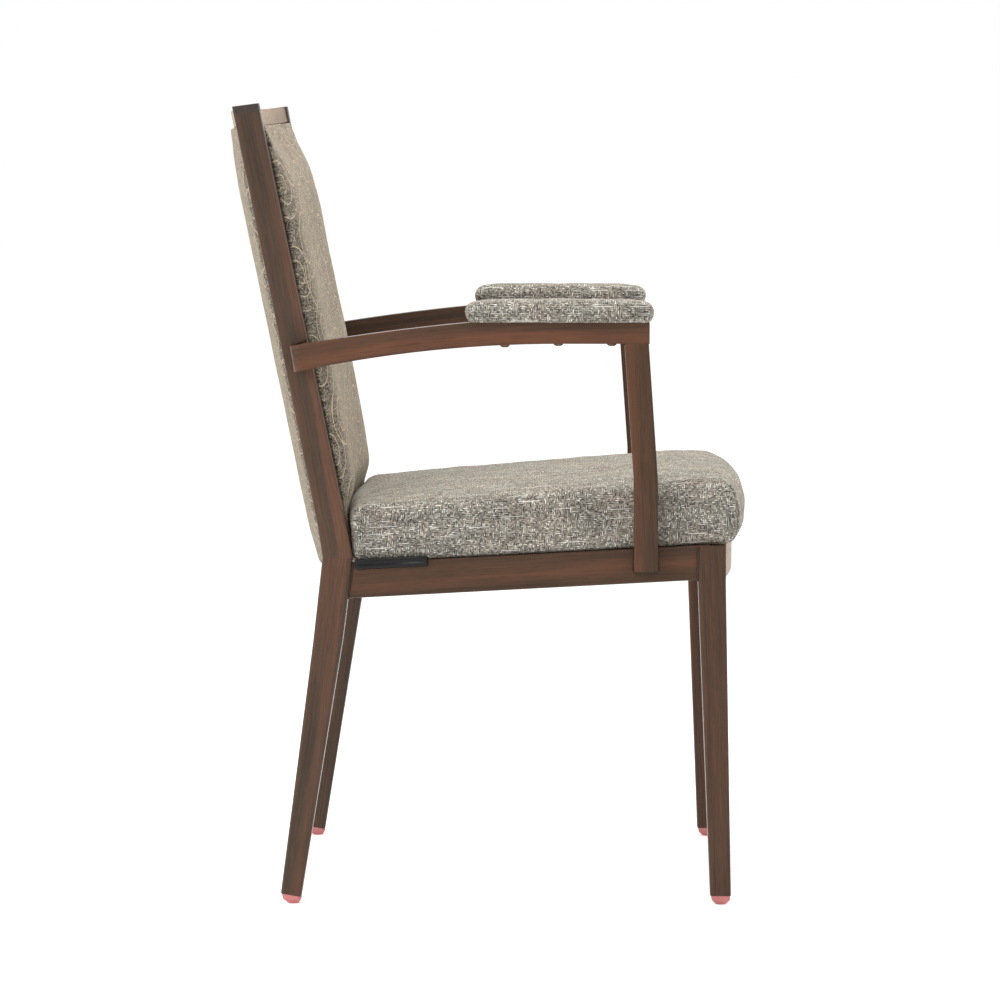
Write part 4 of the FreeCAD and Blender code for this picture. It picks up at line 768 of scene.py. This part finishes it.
# bowed black strip that closes the lower edge of the back
underStrip = dict(level=-0.0004, near=0.0008, far=0.0246, reach=0.2155, thick=0.0009)
bm = bmesh.new()
bmesh.ops.create_grid(bm, x_segments=48, y_segments=4, size=0.5)
for vert in bm.verts:
    x = vert.co.x * 2 * underStrip["reach"]
    y = underStrip["near"] + (vert.co.y + 0.5) * (underStrip["far"] - underStrip["near"])
    vert.co = (x, y + bowAt(x, underStrip["level"]), underStrip["level"])
bmesh.ops.solidify(bm, geom=bm.faces[:], thickness=underStrip["thick"])
bmesh.ops.recalc_face_normals(bm, faces=bm.faces)
lowerStrip = addPiece("backUnderStrip", bm, dustBlack)
setCoords(lowerStrip.data, fromBack(coordsOf(lowerStrip.data)))
print("back done")


def spaced(points, step):                   # extra points along a line
    points = [Vector(point) for point in points]
    path = [points[0]]
    for first, second in zip(points, points[1:]):
        count = max(1, round((second - first).length / step))
        path += [first.lerp(second, share / count) for share in range(1, count + 1)]
    return path


def ringEdges(ring):
    ring = set(ring)
    return list({edge for vert in ring for edge in vert.link_edges if edge.other_vert(vert) in ring})


# weld beads in the inner corners of the joints: size, then points on the right side
weld = dict(radius=0.0014, step=0.0022, ripple=0.10, wave=1.7, taper=0.55, sides=8)
beads = dict(
    sideRailRear=(1.0, (-0.2390, 0.1496, 0.3835), (-0.2390, 0.1553, 0.3455),
                  (-0.2205, 0.1553, 0.3455)),
    sideRailFront=(1.35, (-0.2390, -0.2382, 0.4040), (-0.2390, -0.2382, 0.3664),
                   (-0.2205, -0.2382, 0.3664)),
    postRear=(1.1, (-0.2390, -0.1655, 0.3765), (-0.2390, -0.1655, 0.4000)),
    postFront=(1.1, (-0.2390, -0.1932, 0.3765), (-0.2390, -0.1932, 0.4015)),
    postTop=(1.1, (-0.2740, -0.1545, 0.6333), (-0.2525, -0.1545, 0.6333)),
    armTop=(1.2, (-0.2515, 0.1995, 0.6375), (-0.2514, 0.2090, 0.6340), (-0.2512, 0.2175, 0.6305)),
    armUnder=(1.2, (-0.2506, 0.1945, 0.6090), (-0.2504, 0.2120, 0.6030)),
    frontRail=(1.0, (-0.2170, -0.2683, 0.4030), (-0.2170, -0.2683, 0.3690),
               (-0.2170, -0.2500, 0.3680)),
    rearRail=(1.0, (-0.2170, 0.1560, 0.3725), (-0.2168, 0.1575, 0.3458),
              (-0.2168, 0.1775, 0.3458)))


def beadAlong(bm, path, radius):
    rings = []
    for place, point in enumerate(path):
        ahead = path[min(place + 1, len(path) - 1)] - path[max(place - 1, 0)]
        turn = ahead.normalized().to_track_quat("Z", "Y").to_matrix().to_4x4()
        size = radius * (1 + weld["ripple"] * math.sin(place * weld["wave"]))
        if place in (0, len(path) - 1):
            size *= weld["taper"]
        rings.append(bmesh.ops.create_circle(bm, segments=weld["sides"], radius=size,
                                             matrix=Matrix.Translation(point) @ turn)["verts"])
    for first, second in zip(rings, rings[1:]):
        bmesh.ops.bridge_loops(bm, edges=ringEdges(first) + ringEdges(second))
    for ring in (rings[0], rings[-1]):
        bmesh.ops.contextual_create(bm, geom=ringEdges(ring))


bm = bmesh.new()
for side in (1, -1):
    for size, *points in beads.values():
        path = spaced([(x * side, y, z) for x, y, z in points], weld["step"])
        beadAlong(bm, path, weld["radius"] * size)
bmesh.ops.recalc_face_normals(bm, faces=bm.faces)
addPiece("weldBeads", bm, weldBrown)
print("weld beads", len(beads) * 2)

# pan heads with a cross recess under the arms; places give share along the row and how deep
armScrew = dict(radius=0.0053, height=0.0030, rise=0.0042,
                places=((0.0, 0.0), (0.5, 0.0), (1.0, 0.0016)),
                crossHalf=0.2, crossReach=0.62, dome=0.62, sunk=0.5, sunkTaper=0.86)


def inCross(middle):
    near, far = sorted((abs(middle.x), abs(middle.y)))
    return near < armScrew["crossHalf"] and far < armScrew["crossReach"]


def panHead(bm, place):
    made = bmesh.ops.create_grid(bm, x_segments=10, y_segments=10, size=1.0)["verts"]
    faces = list({face for vert in made for face in vert.link_faces})
    cross = [face for face in faces if inCross(face.calc_center_median())]
    rim = [edge for edge in ringEdges(made) if edge.is_boundary]
    skirt = bmesh.ops.extrude_edge_only(bm, edges=rim)["geom"]
    sunk = bmesh.ops.extrude_face_region(bm, geom=cross)["geom"]
    bmesh.ops.delete(bm, geom=cross, context="FACES_ONLY")
    skirt, sunk = [{item for item in items if isinstance(item, bmesh.types.BMVert)}
                   for items in (skirt, sunk)]
    turn = Vector((0, 0, 1)).rotation_difference(Vector((0, 0, -1))).to_matrix()
    for vert in set(made) | skirt | sunk:
        x, y = vert.co.x, vert.co.y
        spread = max(abs(x), abs(y)) / max(math.hypot(x, y), 1e-6)
        out = Vector((x * spread, y * spread, 0))
        rise = armScrew["height"] * (1 - armScrew["dome"] * out.length ** 3)
        if vert in sunk:
            rise -= armScrew["height"] * armScrew["sunk"]
            out *= armScrew["sunkTaper"]
        if vert in skirt:
            rise = 0.0
        out *= armScrew["radius"]
        vert.co = Vector(place) + turn @ Vector((out.x, out.y, rise))


for side in ("right", "left"):
    low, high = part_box("arm_pad_screws_" + side)
    first, last = low.y + armScrew["radius"], high.y - armScrew["radius"]
    bm = bmesh.new()
    for share, drop in armScrew["places"]:
        panHead(bm, ((low.x + high.x) / 2, first + (last - first) * share,
                     low.z + armScrew["rise"] - drop))
    bmesh.ops.recalc_face_normals(bm, faces=bm.faces)
    heads = addPiece("armScrewHeads" + side.title(), bm, screwBronze)
    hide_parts("arm_pad_screws_" + side)

# rubber bumpers with rounded edges and a shallow groove along them; each runs on towards the leg
# past the CAD part, partly the bumper's own length and partly painted shade in the corner by the leg
bumper = dict(round=0.0028, lip=0.0016, slope=0.0011, groove=0.0015, reachIntoShade=0.0075)
for side, outward in (("right", -1), ("left", 1)):
    corners = toSeat(coordsOf(nodes["stacking_bumper_" + side].data))
    low, high = corners.min(0), corners.max(0)
    # painted shade: the black rubber reaches on to the leg, filling the shaded corner between leg,
    # rail and cushion
    high[1] += bumper["reachIntoShade"]
    bm = bmesh.new()
    bmesh.ops.create_cube(bm, size=1.0)
    bmesh.ops.scale(bm, vec=Vector(high - low), verts=bm.verts)
    bmesh.ops.bevel(bm, geom=bm.edges[:], offset=bumper["round"], segments=4, profile=0.5,
                    affect="EDGES", material=-1)
    outer = max(bm.faces, key=lambda face: outward * face.normal.x * face.calc_area())
    bmesh.ops.inset_region(bm, faces=[outer], thickness=bumper["lip"])
    bmesh.ops.inset_region(bm, faces=[outer], thickness=bumper["slope"], depth=-bumper["groove"])
    bmesh.ops.translate(bm, vec=Vector((low + high) / 2), verts=bm.verts)
    rubber = addPiece("bumper" + side.title(), bm, bumperBlack)
    setCoords(rubber.data, fromSeat(coordsOf(rubber.data)))
    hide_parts("stacking_bumper_" + side)
print("bumpers done")

# staples round the dust cover
staple = dict(pitch=0.038, length=0.010, width=0.0011, thick=0.0006, inset=0.007, level=-0.0011,
              front=-0.400, rear=-0.030)
low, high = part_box("dust_cover")
edgeX = high.x - staple["inset"]
alongX = np.arange(-edgeX + 0.02, edgeX, staple["pitch"])
alongY = np.arange(staple["front"] + 0.03, staple["rear"] - 0.01, staple["pitch"])
spots = [(x, y, 0) for y in (staple["front"], staple["rear"]) for x in alongX]
spots += [(x, y, 1) for x in (-edgeX, edgeX) for y in alongY]
bm = bmesh.new()
for x, y, turned in spots:
    sides = (staple["width"], staple["length"]) if turned else (staple["length"], staple["width"])
    matrix = Matrix.Translation((x, y, staple["level"]))
    matrix @= Matrix.Diagonal((*sides, staple["thick"], 1))
    bmesh.ops.create_cube(bm, size=1.0, matrix=matrix)
staples = addPiece("dustStaples", bm, stapleSteel)
setCoords(staples.data, fromSeat(coordsOf(staples.data)))
staples.data.shade_flat()
print("screws and staples", len(spots))

# studio: a glowing pale floor and three soft boxes, each with place, size and watts
studio = dict(floor=0.86, glow=0.56, ambient=0.60, aim=(0, 0, 0.5),
              topBox=((0.2, 0.3, 3.2), 2.4, 64), rearLeftBox=((-2.6, 2.4, 2.0), 1.8, 42),
              frontBox=((0.4, -3.4, 1.6), 2.0, 22))
bm = bmesh.new()
bmesh.ops.create_grid(bm, x_segments=1, y_segments=1, size=30.0)
floorMesh = bpy.data.meshes.new("studioFloor")
bm.to_mesh(floorMesh)
bm.free()
floorPlane = bpy.data.objects.new("studioFloor", floorMesh)
scene.collection.objects.link(floorPlane)


def seenDirectly(s):
    camera, glossy, clear = [s.make("ShaderNodeLightPath", None, None, out)
                             for out in ("Is Camera Ray", "Is Glossy Ray", "Is Transmission Ray")]
    return s.sum("MAXIMUM", s.sum("MAXIMUM", camera, glossy), clear)


white = rgb(1, 1, 1)
floorFinish, s = newFinish("studioFloor")
paint = s.make("ShaderNodeBsdfDiffuse", None, {"Color": rgb(*[studio["floor"]] * 3)})
glow = s.make("ShaderNodeEmission", None,
              {"Color": white, "Strength": seenDirectly(s) * studio["glow"]})
mixed = s.make("ShaderNodeAddShader", None, {0: paint, 1: glow})
s.make("ShaderNodeOutputMaterial", None, {0: mixed}, None)
floorMesh.materials.append(floorFinish)

world = bpy.data.worlds.new("studioWorld")
scene.world = world
world.use_nodes = True
world.node_tree.nodes.clear()
s = Shade(world.node_tree)
level = studio["ambient"] + seenDirectly(s) * (1 - studio["ambient"])
sky = s.make("ShaderNodeBackground", None, {"Color": white, "Strength": level})
s.make("ShaderNodeOutputWorld", None, {0: sky}, None)

for name in ("topBox", "rearLeftBox", "frontBox"):
    place, size, watts = studio[name]
    lamp = bpy.data.lights.new(name, "AREA")
    lamp.shape = "RECTANGLE"
    lamp.size = lamp.size_y = size
    lamp.energy = watts
    box = bpy.data.objects.new(name, lamp)
    box.location = place
    toward = Vector(studio["aim"]) - Vector(place)
    box.rotation_euler = toward.to_track_quat("-Z", "Y").to_euler()
    scene.collection.objects.link(box)

# camera at the photograph's place
view = dict(place=(-5.122, -0.08955, 0.861), yaw=math.radians(0.867), pitch=math.radians(-4.734),
            lens=157.18)
camera = bpy.data.cameras.new("camera")
camera.sensor_width = 36.0
camera.lens = view["lens"]
camera.clip_end = 80.0
cameraObject = bpy.data.objects.new("camera", camera)
cameraObject.location = view["place"]
flat = math.cos(view["pitch"])
ahead = Vector((flat * math.cos(view["yaw"]), flat * math.sin(view["yaw"]), math.sin(view["pitch"])))
cameraObject.rotation_euler = ahead.to_track_quat("-Z", "Y").to_euler()
scene.collection.objects.link(cameraObject)
scene.camera = cameraObject
scene.view_settings.view_transform = "Standard"
print("studio ready")
